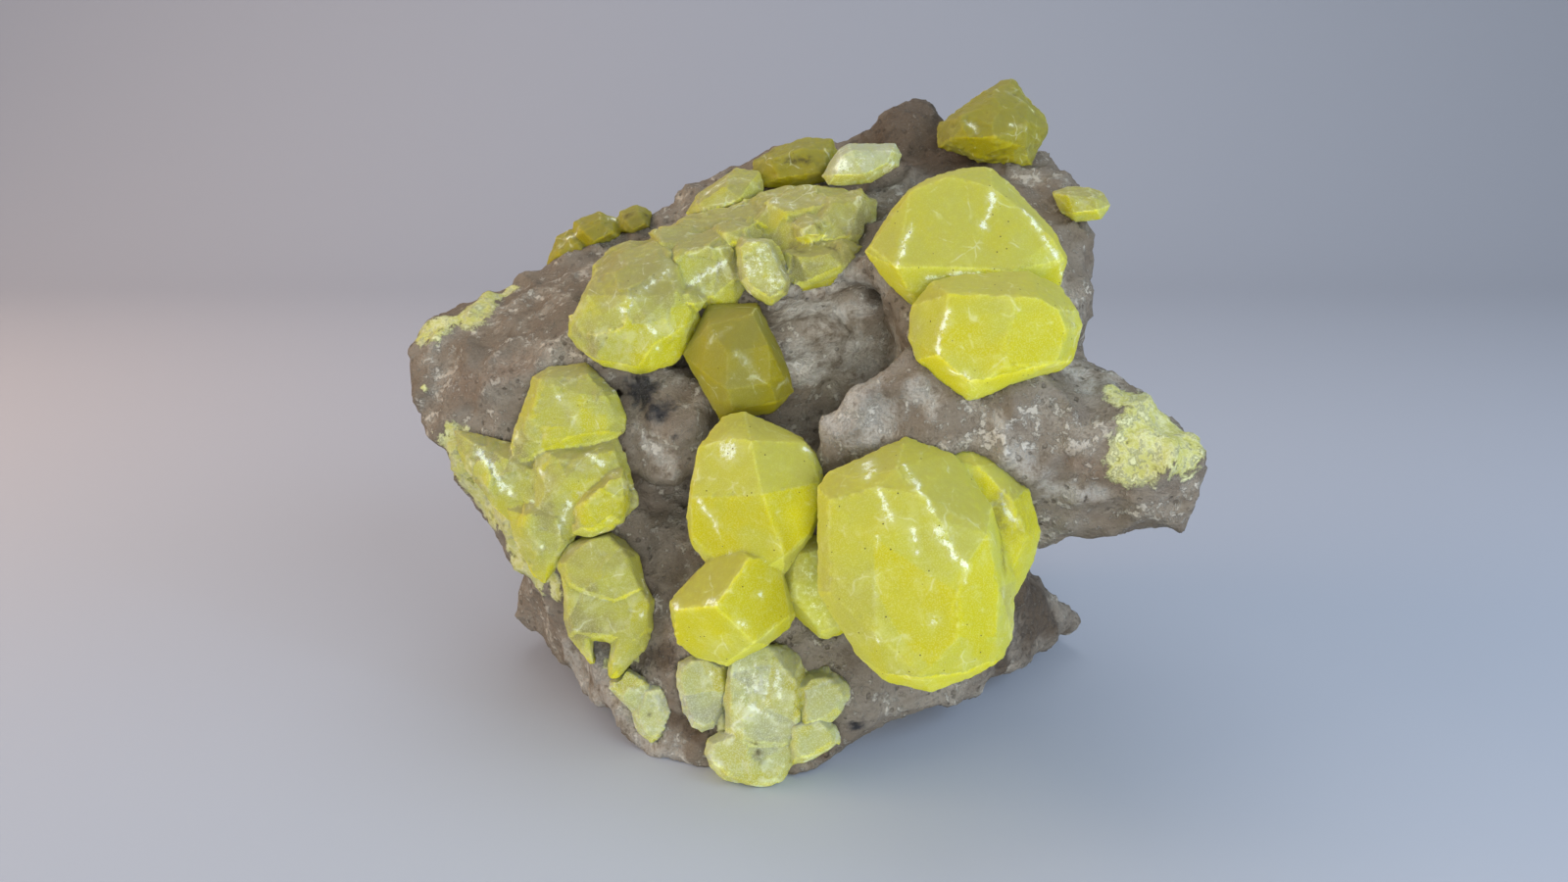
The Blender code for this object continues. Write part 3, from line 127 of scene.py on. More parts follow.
shape = bmesh.new()
near = [shape.verts.new((side * FLOOR_SIDE, FLOOR_NEAR, 0)) for side in (-1, 1)]
front_edge = shape.edges.new(near)
fold = extrude_to(shape, front_edge, (0, FLOOR_BACK - FLOOR_NEAR, 0))
extrude_to(shape, fold, (0, 0, BACK_HEIGHT))
bmesh.ops.bevel(
    shape, geom=[fold], offset=FOLD_RADIUS, affect="EDGES", segments=FOLD_STEPS, profile=0.5, material=-1
)
bmesh.ops.recalc_face_normals(shape, faces=shape.faces)
floor = new_object("floor", shape)
print("floor faces", len(floor.data.polygons))

# %% A painted floor and the lamps
FLOOR_PAINT = (0.385, 0.425, 0.50, 1)
ROOM_COLOUR = (0.80, 0.82, 0.86, 1)
ROOM_STRENGTH = 0.50
MIDDLE = (0, 0, 0.05)

paint = bpy.data.materials.new("pale_floor")
paint.use_nodes = True
paint_shader = paint.node_tree.nodes["Principled BSDF"]
paint_shader.inputs["Base Color"].default_value = FLOOR_PAINT
paint_shader.inputs["Roughness"].default_value = 0.75
floor.data.materials.append(paint)


def lamp(name, place, size, power, tint, target=MIDDLE):
    """A square soft lamp, aimed at the middle of the specimen unless it gets a target."""
    light = bpy.data.lights.new(name, "AREA")
    light.size = size
    light.energy = power
    light.color = tint
    thing = bpy.data.objects.new(name, light)
    bpy.context.scene.collection.objects.link(thing)
    thing.location = place
    aim = Vector(target) - thing.location
    thing.rotation_euler = aim.to_track_quat("-Z", "Y").to_euler()


lamp("key", (0.36, -0.42, 0.40), 0.40, 1.4, (0.82, 0.93, 1.0))
lamp("front", (0.05, -0.56, 0.12), 0.26, 2.1, (1.0, 0.98, 0.97))
lamp("fill", (-0.62, -0.12, 0.32), 0.50, 2.3, (1.0, 0.79, 0.57))
lamp("top", (-0.05, 0.25, 0.60), 0.45, 1.0, (1.0, 0.98, 0.95))
lamp("warm", (-0.45, 0.05, 0.30), 0.30, 1.0, (1.0, 0.42, 0.12), (-0.40, 0.38, 0.03))
lamp("cool", (0.50, -0.20, 0.30), 0.30, 1.0, (0.50, 0.70, 1.0), (0.28, -0.05, 0.0))

room = bpy.data.worlds.new("room")
room.use_nodes = True
background = room.node_tree.nodes["Background"]
background.inputs["Color"].default_value = ROOM_COLOUR
background.inputs["Strength"].default_value = ROOM_STRENGTH
bpy.context.scene.world = room
bpy.context.scene.view_settings.view_transform = "Standard"

# %% [markdown]
# ## A fine skin over plain facets
# A solid with a few hundred flat faces has razor-sharp edges that no stone has. There are three
# ways to age it: bevel each edge, subdivide and sculpt, or wrap the whole solid in a fine even
# mesh and push that about. The third copes with any shape, also where crystals grow through
# each other, so it is used here for rock and crystals alike. The Remesh modifier makes the
# even mesh, Smooth rounds the edges a little, and Displace adds fine relief from a texture.

# %% Wrapping a node
WELD = 0.002


def solid_copy(node):
    """A node's solid as a bmesh, its loose triangles merged."""
    shape = bmesh.new()
    shape.from_mesh(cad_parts[node].data)
    bmesh.ops.remove_doubles(shape, verts=shape.verts, dist=WELD * MM)
    return shape


def remesh(thing, grain):
    step = thing.modifiers.new("even mesh", "REMESH")
    step.mode = "VOXEL"
    step.voxel_size = grain * MM
    step.use_smooth_shade = True


def soften(thing, rounds):
    step = thing.modifiers.new("worn edges", "SMOOTH")
    step.factor = 0.5
    step.iterations = rounds


def relief(thing, kind, size, height, group=""):
    """Push the skin in and out by a texture with bumps of a size, by a height, in millimetres."""
    texture = bpy.data.textures.new(f"{thing.name}_{kind}_{size}", kind)
    texture.noise_scale = size * MM
    step = thing.modifiers.new("relief", "DISPLACE")
    step.texture = texture
    step.texture_coords = "LOCAL"
    step.strength = height * MM
    step.vertex_group = group
    return texture


def bake(thing):
    """Apply all modifiers, so that the skin can be measured and pushed by hand."""
    graph = bpy.context.evaluated_depsgraph_get()
    mesh = bpy.data.meshes.new_from_object(thing.evaluated_get(graph))
    thing.modifiers.clear()
    thing.data = mesh
    mesh.shade_smooth()


def places_of(mesh):
    """All vertices of a mesh as rows of x, y and z."""
    flat = np.empty(len(mesh.vertices) * 3)
    mesh.vertices.foreach_get("co", flat)
    return flat.reshape(-1, 3)


def normals_of(mesh):
    flat = np.empty(len(mesh.vertices) * 3)
    mesh.vertices.foreach_get("normal", flat)
    return flat.reshape(-1, 3)


def move_to(mesh, places):
    mesh.vertices.foreach_set("co", places.reshape(-1))
    mesh.update()


def keep_mask(mesh, name, mask):
    """Store one number for each vertex, for the material to read by name."""
    layer = mesh.attributes.new(name, "FLOAT", "POINT")
    layer.data.foreach_set("value", np.clip(mask, 0, 1).astype(np.float32))


print("wrapping tools ready")

# %% [markdown]
# ## Marks that lie where they belong
# Powder, chips and stains on the specimen aren't spread evenly: each lies at its own place, and
# so do the painted highlights, painted shade and painted light, which are laid the same way. A
# mark is a short stroke, given as a few sheet points and a width. Each point is carried along
# its line of sight to the skin, and every vertex then learns how near the stroke it lies. That
# number is stored on the mesh, where the material reads it and breaks its border up with noise.
# Vector noise starts from the clock unless it is seeded, so a seed keeps every run the same.

# %% Strokes on a skin
WANDER_STEP = 1.0
STRAY = 0.55
STRAY_GRAIN = 1.3
STRAY_SEED = 3
SWELL_MEAN = 0.85
SWELL = 0.9
SWELL_GRAIN = 1.7
SWELL_LEAST = 0.2

noise.seed_set(STRAY_SEED)


def step_up(value, low, high):
    """A soft step from 0 to 1 between two limits."""
    share = np.clip((value - low) / (high - low), 0, 1)
    return share * share * (3 - 2 * share)


def touch(tree, across, up):
    """Where the line of sight through a sheet point meets a skin, or None."""
    return tree.ray_cast(EYE, sight(across, up))[0]


def near_stroke(places, line, width):
    """1 on a stroke, falling to 0 at its width, for each of many places."""
    nearest = np.full(len(places), np.inf)
    for start, end in zip(line, line[1:] or line):
        a = np.array(start)
        along = np.array(end) - a
        length = max(float(along @ along), 1e-12)
        share = np.clip((places - a) @ along / length, 0, 1)
        away = np.linalg.norm(places - a - share[:, None] * along, axis=1)
        nearest = np.minimum(nearest, away)
    return step_up(1 - nearest / (width * MM), 0, 1)


def wander(line, width):
    """The same line in short steps that stray to the sides, as a scatter of dust does."""
    steps = [line[0]]
    for start, end in zip(line, line[1:]):
        count = max(1, round((end - start).length / (WANDER_STEP * MM)))
        steps += [start.lerp(end, (i + 1) / count) for i in range(count)]
    return [p + noise.noise_vector(p / (STRAY_GRAIN * MM)) * width * STRAY * MM for p in steps]


def strokes_mask(places, tree, strokes):
    """The strongest of some strokes at each place. Each is a little wider here and thinner there."""
    mask = np.zeros(len(places))
    for points, width, *strength in strokes:
        line = [spot for spot in (touch(tree, *point) for point in points) if spot]
        if not line:
            continue
        line = wander(line, width)
        for i in range(max(1, len(line) - 1)):
            swell = SWELL_MEAN + SWELL * noise.noise(line[i] / (SWELL_GRAIN * MM))
            near = near_stroke(places, line[i:i + 2], width * max(SWELL_LEAST, swell))
            mask = np.maximum(mask, near * (strength or [1])[0])
    return mask


print("the sheet stands", round(SHEET), "mm from the eye")

# %% [markdown]
# ## Crystal skins
# Sulfur is soft and brittle. Its crystals keep flat faces, but their edges are bruised: small
# shell-shaped chips are missing and the bruised line looks pale. The skin therefore needs to
# know where the solid's sharp edges ran. They are sampled into a search tree, and each vertex
# near one is pushed in by an uneven amount and marked, so the finish can whiten it. A second
# mark says which flat face a vertex belongs to, because each face is frosted a little
# differently. The same mark also paints the faces that look down in the deep clear colour,
# which is painted light shining through the crystal.

# %% Edges, faces and chips
CRYSTAL_NODES = [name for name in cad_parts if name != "matrix"]
SHARP_ANGLE = math.radians(17)
EDGE_STEP = 0.35
SAME_FACE = math.radians(11)
FACE_REACH = 22
FACE_VARIETY = 0.22
PLANE_BEND = 0.16
PLATE_ROOM = 0.8
FACET_SEED = 5
CLEAR_LEAST = 0.15
CLEAR_SPREAD = 0.6
BITE_BIAS = 0.12
BITE_CURVE = 0.8


def sharp_edge_tree(shape):
    """Search tree with points along all edges where two faces meet at a clear angle outwards."""
    points = []
    for edge in shape.edges:
        if len(edge.link_faces) == 2 and edge.calc_face_angle_signed(0) > SHARP_ANGLE:
            a, b = (v.co for v in edge.verts)
            count = max(1, int((b - a).length / (EDGE_STEP * MM)))
            points += [a.lerp(b, (i + 0.5) / count) for i in range(count)]
    tree = KDTree(len(points))
    for i, point in enumerate(points):
        tree.insert(point, i)
    tree.balance()
    return tree


def tree_of(shape):
    return BVHTree.FromBMesh(shape)


def edge_distance(places, tree):
    return np.array([tree.find(place)[2] for place in places]) / MM


def faces_under(places, tree):
    """The direction of the flat face under each vertex."""
    return np.array([tree.find_nearest(Vector(place))[1] for place in places])


def face_tones(places, facing, tree, tones):
    """How clear each flat face is: 0 veiled, 1 deep and clear. Named faces get their own value."""
    spots = {}
    values = np.empty(len(places))
    for i, normal in enumerate(facing):
        key = tuple(np.round(normal, 2))
        if key not in spots:
            spots[key] = 0.5 + FACE_VARIETY * noise.cell(Vector(normal) * 4.0 + Vector((9.5, 9.5, 9.5)))
        values[i] = spots[key]
    for (across, up), value in tones:
        spot, normal = tree.ray_cast(EYE, sight(across, up))[:2]
        if spot:
            same = facing @ np.array(normal) > math.cos(SAME_FACE)
            near = np.linalg.norm(places - np.array(spot), axis=1) < FACE_REACH * MM
            values[same & near] = value
    return values


def facet_seeds(places, tree, size, plates, chance):
    """Vertices that each start a small plane, and how clear each plane is.

    A named plate takes the place of the scattered seeds round it.
    """
    order = chance.permutation(len(places))
    boxes = np.floor(places[order] / (size * MM))
    scattered = order[np.unique(boxes, axis=0, return_index=True)[1]]
    clear = chance.random(len(scattered)) * CLEAR_SPREAD + CLEAR_LEAST
    seeds = [(seed, tone, False) for seed, tone in zip(scattered, clear)]
    for (across, up), value in plates:
        spot = touch(tree, across, up)
        if spot:
            away = np.linalg.norm(places - np.array(spot), axis=1)
            room = PLATE_ROOM * size * MM
            seeds = [(seed, tone, named) for seed, tone, named in seeds if named or away[seed] >= room]
            seeds.append((int(np.argmin(away)), value, True))
    return np.array([seed for seed, _, _ in seeds]), np.array([tone for _, tone, _ in seeds])


def small_facets(places, tree, size, slope, plates):
    """Heights that break a skin into small tilted planes, how clear each plane is, and its borders."""
    chance = np.random.default_rng(FACET_SEED)
    seeds, clear = facet_seeds(places, tree, size, plates, chance)
    tilts = chance.normal(size=(len(seeds), 3))
    tilts *= slope / np.linalg.norm(tilts, axis=1)[:, None]
    tree = KDTree(len(seeds))
    for i, seed in enumerate(seeds):
        tree.insert(places[seed], i)
    tree.balance()
    heights, borders = np.empty(len(places)), np.empty(len(places))
    owners = np.empty(len(places), int)
    for i, place in enumerate(places):
        found = tree.find_n(place, 4)
        planes = [
            float(tilts[k] @ (place - places[seeds[k]])) / MM + PLANE_BEND * (d / MM) ** 2 / size
            for _, k, d in found
        ]
        lowest = int(np.argmin(planes))
        heights[i] = planes[lowest]
        owners[i] = found[lowest][1]
        planes.sort()
        borders[i] = planes[1] - planes[0] if len(planes) > 1 else 1.0
    return heights, clear[owners], borders


def chip(places, normals, near_edge, depth, size):
    """Take uneven bites out of the edges."""
    for i in np.flatnonzero(near_edge > 0.02):
        bite = noise.noise(Vector(places[i]) / (size * MM))
        bite = max(0.0, bite + BITE_BIAS) ** BITE_CURVE
        places[i] -= normals[i] * bite * near_edge[i] * depth * MM
    return places


print("an edge is sharp above", round(math.degrees(SHARP_ANGLE)), "degrees")

# %% [markdown]
# ## Helpers for finishes
# A finish is a small network of nodes: noise gives a pattern, a range turns it into a mask, and
# masks mix colours. Small helpers keep the networks readable. A socket may get either a plain
# value or another node's output, and the helpers accept both.

# %% Node helpers
def feed(tree, socket, value):
    """Link an output to a socket, or set the socket's own value."""
    if isinstance(value, bpy.types.NodeSocket):
        tree.links.new(value, socket)
    else:
        socket.default_value = value


def maths(tree, operation, a, b=0.0, limited=False):
    step = tree.nodes.new("ShaderNodeMath")
    step.operation = operation
    step.use_clamp = limited
    feed(tree, step.inputs[0], a)
    feed(tree, step.inputs[1], b)
    return step.outputs[0]


def blend(tree, share, a, b, kind="MIX"):
    """Colour a turned into colour b by a mask."""
    step = tree.nodes.new("ShaderNodeMix")
    step.data_type = "RGBA"
    step.blend_type = kind
    step.clamp_factor = True
    feed(tree, step.inputs["Factor"], share)
    feed(tree, step.inputs[6], a)
    feed(tree, step.inputs[7], b)
    return step.outputs[2]


def ranged(tree, value, low, high, to_low=0.0, to_high=1.0):
    """A soft step of a value between two limits."""
    step = tree.nodes.new("ShaderNodeMapRange")
    step.interpolation_type = "SMOOTHSTEP"
    feed(tree, step.inputs["Value"], value)
    limits = {"From Min": low, "From Max": high, "To Min": to_low, "To Max": to_high}
    for name, limit in limits.items():
        step.inputs[name].default_value = limit
    return step.outputs["Result"]


def cloud(tree, place, size, detail=4.0, roughness=0.55, twist=0.0):
    """Soft noise with blobs of a size in millimetres."""
    step = tree.nodes.new("ShaderNodeTexNoise")
    feed(tree, step.inputs["Vector"], place)
    step.inputs["Scale"].default_value = 1 / (size * MM)
    step.inputs["Detail"].default_value = detail
    step.inputs["Roughness"].default_value = roughness
    step.inputs["Distortion"].default_value = twist
    return step.outputs["Fac"]


def cells(tree, place, size, feature="F1", output="Distance"):
    """Distance to the nearest of scattered points that lie a size apart."""
    step = tree.nodes.new("ShaderNodeTexVoronoi")
    step.feature = feature
    feed(tree, step.inputs["Vector"], place)
    step.inputs["Scale"].default_value = 1 / (size * MM)
    return step.outputs[output]


def stretched(tree, place, turn, squeeze):
    """The place turned and squeezed, for patterns with a direction."""
    step = tree.nodes.new("ShaderNodeMapping")
    feed(tree, step.inputs["Vector"], place)
    step.inputs["Rotation"].default_value = [math.radians(angle) for angle in turn]
    step.inputs["Scale"].default_value = squeeze
    return step.outputs[0]


def mark(tree, name):
    """A mask that the mesh carries."""
    step = tree.nodes.new("ShaderNodeAttribute")
    step.attribute_name = name
    return step.outputs["Fac"]


def new_group(name, inputs, outputs):
    """An empty shader group with named sockets, and its inner ends."""
    group = bpy.data.node_groups.new(name, "ShaderNodeTree")
    for label, kind in inputs:
        group.interface.new_socket(label, in_out="INPUT", socket_type=kind)
    for label, kind in outputs:
        group.interface.new_socket(label, in_out="OUTPUT", socket_type=kind)
    return group, group.nodes.new("NodeGroupInput"), group.nodes.new("NodeGroupOutput")


print("node helpers ready")

# %% [markdown]
# ## The look of sulfur
# A sulfur crystal is clear inside and frosted outside. Light goes in, is tinted strong yellow
# and comes out near by, which is what subsurface scattering does. On top of that the surface
# carries pale bruised edges, white powder, fine scratches, cloudy patches and a few black
# specks of dirt. Painted light is laid in too: some white powder strokes are painted
# highlights, some stains are painted shade, and the faces that look down and a few named
# patches are painted lighter, a painted glow for light that shines through. All crystals
# share these, in different amounts, so they are one node group.

# %% Sulfur surface group
COLOUR = "NodeSocketColor"
NUMBER = "NodeSocketFloat"
sulfur, given, result = new_group(
    "sulfur_surface",
    [(label, COLOUR) for label in ("Body", "Deep", "Veil", "Bruise", "PowderAndHighlight", "DirtAndShade")]
    + [(label, NUMBER) for label in ("Cloudiness", "Frost", "Speckle", "Cracks")],
    [("Color", COLOUR), ("Roughness", NUMBER), ("Height", NUMBER)],
)
place = sulfur.nodes.new("ShaderNodeTexCoord").outputs["Object"]
slow = cloud(sulfur, place, 9, 3)
broad = cloud(sulfur, place, 3.6, 5, 0.62, 0.5)
fine = cloud(sulfur, place, 0.9, 6, 0.65)
grit = cloud(sulfur, place, 0.22, 3, 0.6)
# The facet tone mark also carries painted light: faces that look down are pushed towards the deep colour.
tone = maths(sulfur, "ADD", mark(sulfur, "facet"), ranged(sulfur, slow, 0.35, 0.65, -0.22, 0.22))
tone = maths(sulfur, "ADD", tone, maths(sulfur, "MULTIPLY", mark(sulfur, "deep"), 0.5), limited=True)
colour = blend(sulfur, ranged(sulfur, tone, 0.45, 1.0), given.outputs["Body"], given.outputs["Deep"])
colour = blend(sulfur, ranged(sulfur, tone, 0.55, 0.0), colour, given.outputs["Veil"])

veil = maths(sulfur, "MULTIPLY", ranged(sulfur, broad, 0.48, 0.72), given.outputs["Cloudiness"])
colour = blend(sulfur, veil, colour, given.outputs["Bruise"])
frost = maths(sulfur, "MULTIPLY", ranged(sulfur, grit, 0.47, 0.62), given.outputs["Frost"])
colour = blend(sulfur, frost, colour, given.outputs["Bruise"])
dust = maths(sulfur, "MULTIPLY", mark(sulfur, "dust"), ranged(sulfur, fine, 0.25, 0.6, 0.55, 1.0))
colour = blend(sulfur, maths(sulfur, "MULTIPLY", dust, 0.9), colour, given.outputs["Veil"])

ragged = maths(sulfur, "ADD", maths(sulfur, "MULTIPLY", fine, 1.6), -0.30)
edge = maths(sulfur, "MULTIPLY", mark(sulfur, "edge"), ragged, limited=True)
edge = ranged(sulfur, edge, 0.25, 0.75)
colour = blend(sulfur, maths(sulfur, "MULTIPLY", edge, 0.6), colour, given.outputs["Bruise"])
print("base, clouds and edges use", len(sulfur.nodes), "nodes")

# %% Powder, painted highlights, scratches and specks
laid = mark(sulfur, "powder_and_highlight")
broken = maths(sulfur, "ADD", maths(sulfur, "MULTIPLY", fine, 1.7), maths(sulfur, "MULTIPLY", grit, 0.9))
broken = maths(sulfur, "ADD", maths(sulfur, "MULTIPLY", laid, 1.1), maths(sulfur, "ADD", broken, -1.5))
core = maths(sulfur, "MULTIPLY", ranged(sulfur, broken, 0.46, 1.0), ranged(sulfur, laid, 0.03, 0.3))
haze = maths(sulfur, "MULTIPLY", laid, ranged(sulfur, fine, 0.30, 0.70))
powder_and_highlight = maths(sulfur, "MAXIMUM", core, maths(sulfur, "MULTIPLY", haze, 0.42))
# Powder, and in places painted highlights: some powder strokes paint white highlights.
colour = blend(sulfur, maths(sulfur, "MULTIPLY", powder_and_highlight, 0.84), colour, given.outputs["PowderAndHighlight"])

bent = sulfur.nodes.new("ShaderNodeTexNoise")
bent.inputs["Scale"].default_value = 1 / (5 * MM)
sulfur.links.new(place, bent.inputs["Vector"])
shift = sulfur.nodes.new("ShaderNodeVectorMath")
shift.operation = "MULTIPLY_ADD"
sulfur.links.new(bent.outputs["Color"], shift.inputs[0])
shift.inputs[1].default_value = [4 * MM] * 3
sulfur.links.new(place, shift.inputs[2])
crack = ranged(sulfur, cells(sulfur, shift.outputs[0], 6.5, "DISTANCE_TO_EDGE"), 0.034, 0.004)
crack = maths(sulfur, "MULTIPLY", crack, ranged(sulfur, broad, 0.48, 0.66))
crack = maths(sulfur, "MULTIPLY", crack, given.outputs["Cracks"])
colour = blend(sulfur, crack, colour, given.outputs["PowderAndHighlight"])

lengthwise = stretched(sulfur, place, (20, 35, 10), (1, 1, 0.12))
scratch = ranged(sulfur, cloud(sulfur, lengthwise, 0.5, 2, 0.5), 0.66, 0.74)
scratch = maths(sulfur, "MULTIPLY", scratch, ranged(sulfur, broad, 0.5, 0.62))
colour = blend(sulfur, maths(sulfur, "MULTIPLY", scratch, 0.35), colour, given.outputs["Bruise"])

dot = ranged(sulfur, cells(sulfur, place, 1.7), 0.095, 0.055)
chosen = ranged(sulfur, cells(sulfur, place, 1.7, output="Color"), 0.50, 0.54)
dot = maths(sulfur, "MULTIPLY", maths(sulfur, "MULTIPLY", dot, chosen), given.outputs["Speckle"])
colour = blend(sulfur, dot, colour, given.outputs["DirtAndShade"])
# Stains, and in places painted shade: the stain mask darkens the colour towards the dark dirt colour.
stain = maths(sulfur, "MULTIPLY", mark(sulfur, "stain"), ranged(sulfur, fine, 0.3, 0.6))
colour = blend(sulfur, stain, colour, given.outputs["DirtAndShade"])
# Painted light: the colour is multiplied lighter on faces that look down and on named patches, a painted
# glow for light shining through.
colour = blend(sulfur, mark(sulfur, "painted_light"), colour, (1.6, 1.6, 1.25, 1), kind="MULTIPLY")
sulfur.links.new(colour, result.inputs["Color"])

gloss = ranged(sulfur, broad, 0.3, 0.7, 0.52, 0.72)
gloss = maths(sulfur, "ADD", gloss, maths(sulfur, "MULTIPLY", powder_and_highlight, 0.3))
gloss = maths(sulfur, "ADD", gloss, maths(sulfur, "MULTIPLY", mark(sulfur, "deep"), -0.14), limited=True)
sulfur.links.new(gloss, result.inputs["Roughness"])
height = maths(sulfur, "ADD", maths(sulfur, "MULTIPLY", fine, 0.5), maths(sulfur, "MULTIPLY", grit, 0.25))
height = maths(sulfur, "ADD", height, maths(sulfur, "MULTIPLY", scratch, -0.3))
height = maths(sulfur, "ADD", height, maths(sulfur, "MULTIPLY", powder_and_highlight, 0.3))
sulfur.links.new(height, result.inputs["Height"])
print("sulfur surface group has", len(sulfur.nodes), "nodes")

# %% Sulfur finishes
# White for powder and cracks, and also for painted highlights.
WHITE_POWDER_AND_HIGHLIGHT = (0.74, 0.80, 0.66, 1)
# Dark colour for specks and stains, and also for painted shade.
DIRT_AND_SHADE = (0.07, 0.055, 0.02, 1)


def sulfur_finish(name, body, deep, veil, bruise, cloudiness, frost, speckle, cracks, glow):
    """A waxy sulfur material. The glow is how far light spreads inside, in millimetres."""
    material = bpy.data.materials.new(name)
    material.use_nodes = True
    tree = material.node_tree
    shader = tree.nodes["Principled BSDF"]
    surface = tree.nodes.new("ShaderNodeGroup")
    surface.node_tree = sulfur
    values = {
        "Body": body, "Deep": deep, "Veil": veil, "Bruise": bruise, "PowderAndHighlight": WHITE_POWDER_AND_HIGHLIGHT, "DirtAndShade": DIRT_AND_SHADE,
        "Cloudiness": cloudiness, "Frost": frost, "Speckle": speckle, "Cracks": cracks,
    }
    for label, value in values.items():
        surface.inputs[label].default_value = value
    tree.links.new(surface.outputs["Color"], shader.inputs["Base Color"])
    tree.links.new(surface.outputs["Roughness"], shader.inputs["Roughness"])
    bump = tree.nodes.new("ShaderNodeBump")
    bump.inputs["Strength"].default_value = 0.5
    bump.inputs["Distance"].default_value = 0.25 * MM
    tree.links.new(surface.outputs["Height"], bump.inputs["Height"])
    tree.links.new(bump.outputs[0], shader.inputs["Normal"])
    shader.inputs["Subsurface Weight"].default_value = 1.0
    shader.inputs["Subsurface Radius"].default_value = (1.0, 0.85, 0.12)
    shader.inputs["Subsurface Scale"].default_value = glow * MM
    shader.inputs["IOR"].default_value = 1.6
    shader.inputs["Specular IOR Level"].default_value = 0.14
    return material


LEMON = sulfur_finish(
    "lemon_sulfur", body=(0.415, 0.425, 0.054, 1), deep=(0.445, 0.425, 0.007, 1),
    veil=(0.345, 0.335, 0.064, 1),
    bruise=(0.54, 0.56, 0.22, 1), cloudiness=0.35, frost=0.30, speckle=0.9, cracks=0.20, glow=3.5,
)
CLOUDED = sulfur_finish(
    "clouded_sulfur", body=(0.37, 0.38, 0.075, 1), deep=(0.43, 0.42, 0.010, 1),
    veil=(0.25, 0.238, 0.085, 1),
    bruise=(0.54, 0.56, 0.32, 1), cloudiness=0.5, frost=0.32, speckle=0.5, cracks=0.3, glow=2.0,
)
GREENISH = sulfur_finish(
    "greenish_sulfur", body=(0.235, 0.222, 0.034, 1), deep=(0.265, 0.235, 0.004, 1),
    veil=(0.200, 0.186, 0.034, 1),
    bruise=(0.32, 0.315, 0.10, 1), cloudiness=0.35, frost=0.25, speckle=0.5, cracks=0.3, glow=2.5,
)
CHALKY = sulfur_finish(
    "chalky_sulfur", body=(0.37, 0.40, 0.17, 1), deep=(0.39, 0.38, 0.05, 1),
    veil=(0.30, 0.32, 0.20, 1),
    bruise=(0.58, 0.63, 0.46, 1), cloudiness=0.7, frost=0.45, speckle=0.4, cracks=0.3, glow=1.5,
)
print("finishes", [m.name for m in bpy.data.materials if m.name.endswith("sulfur")])
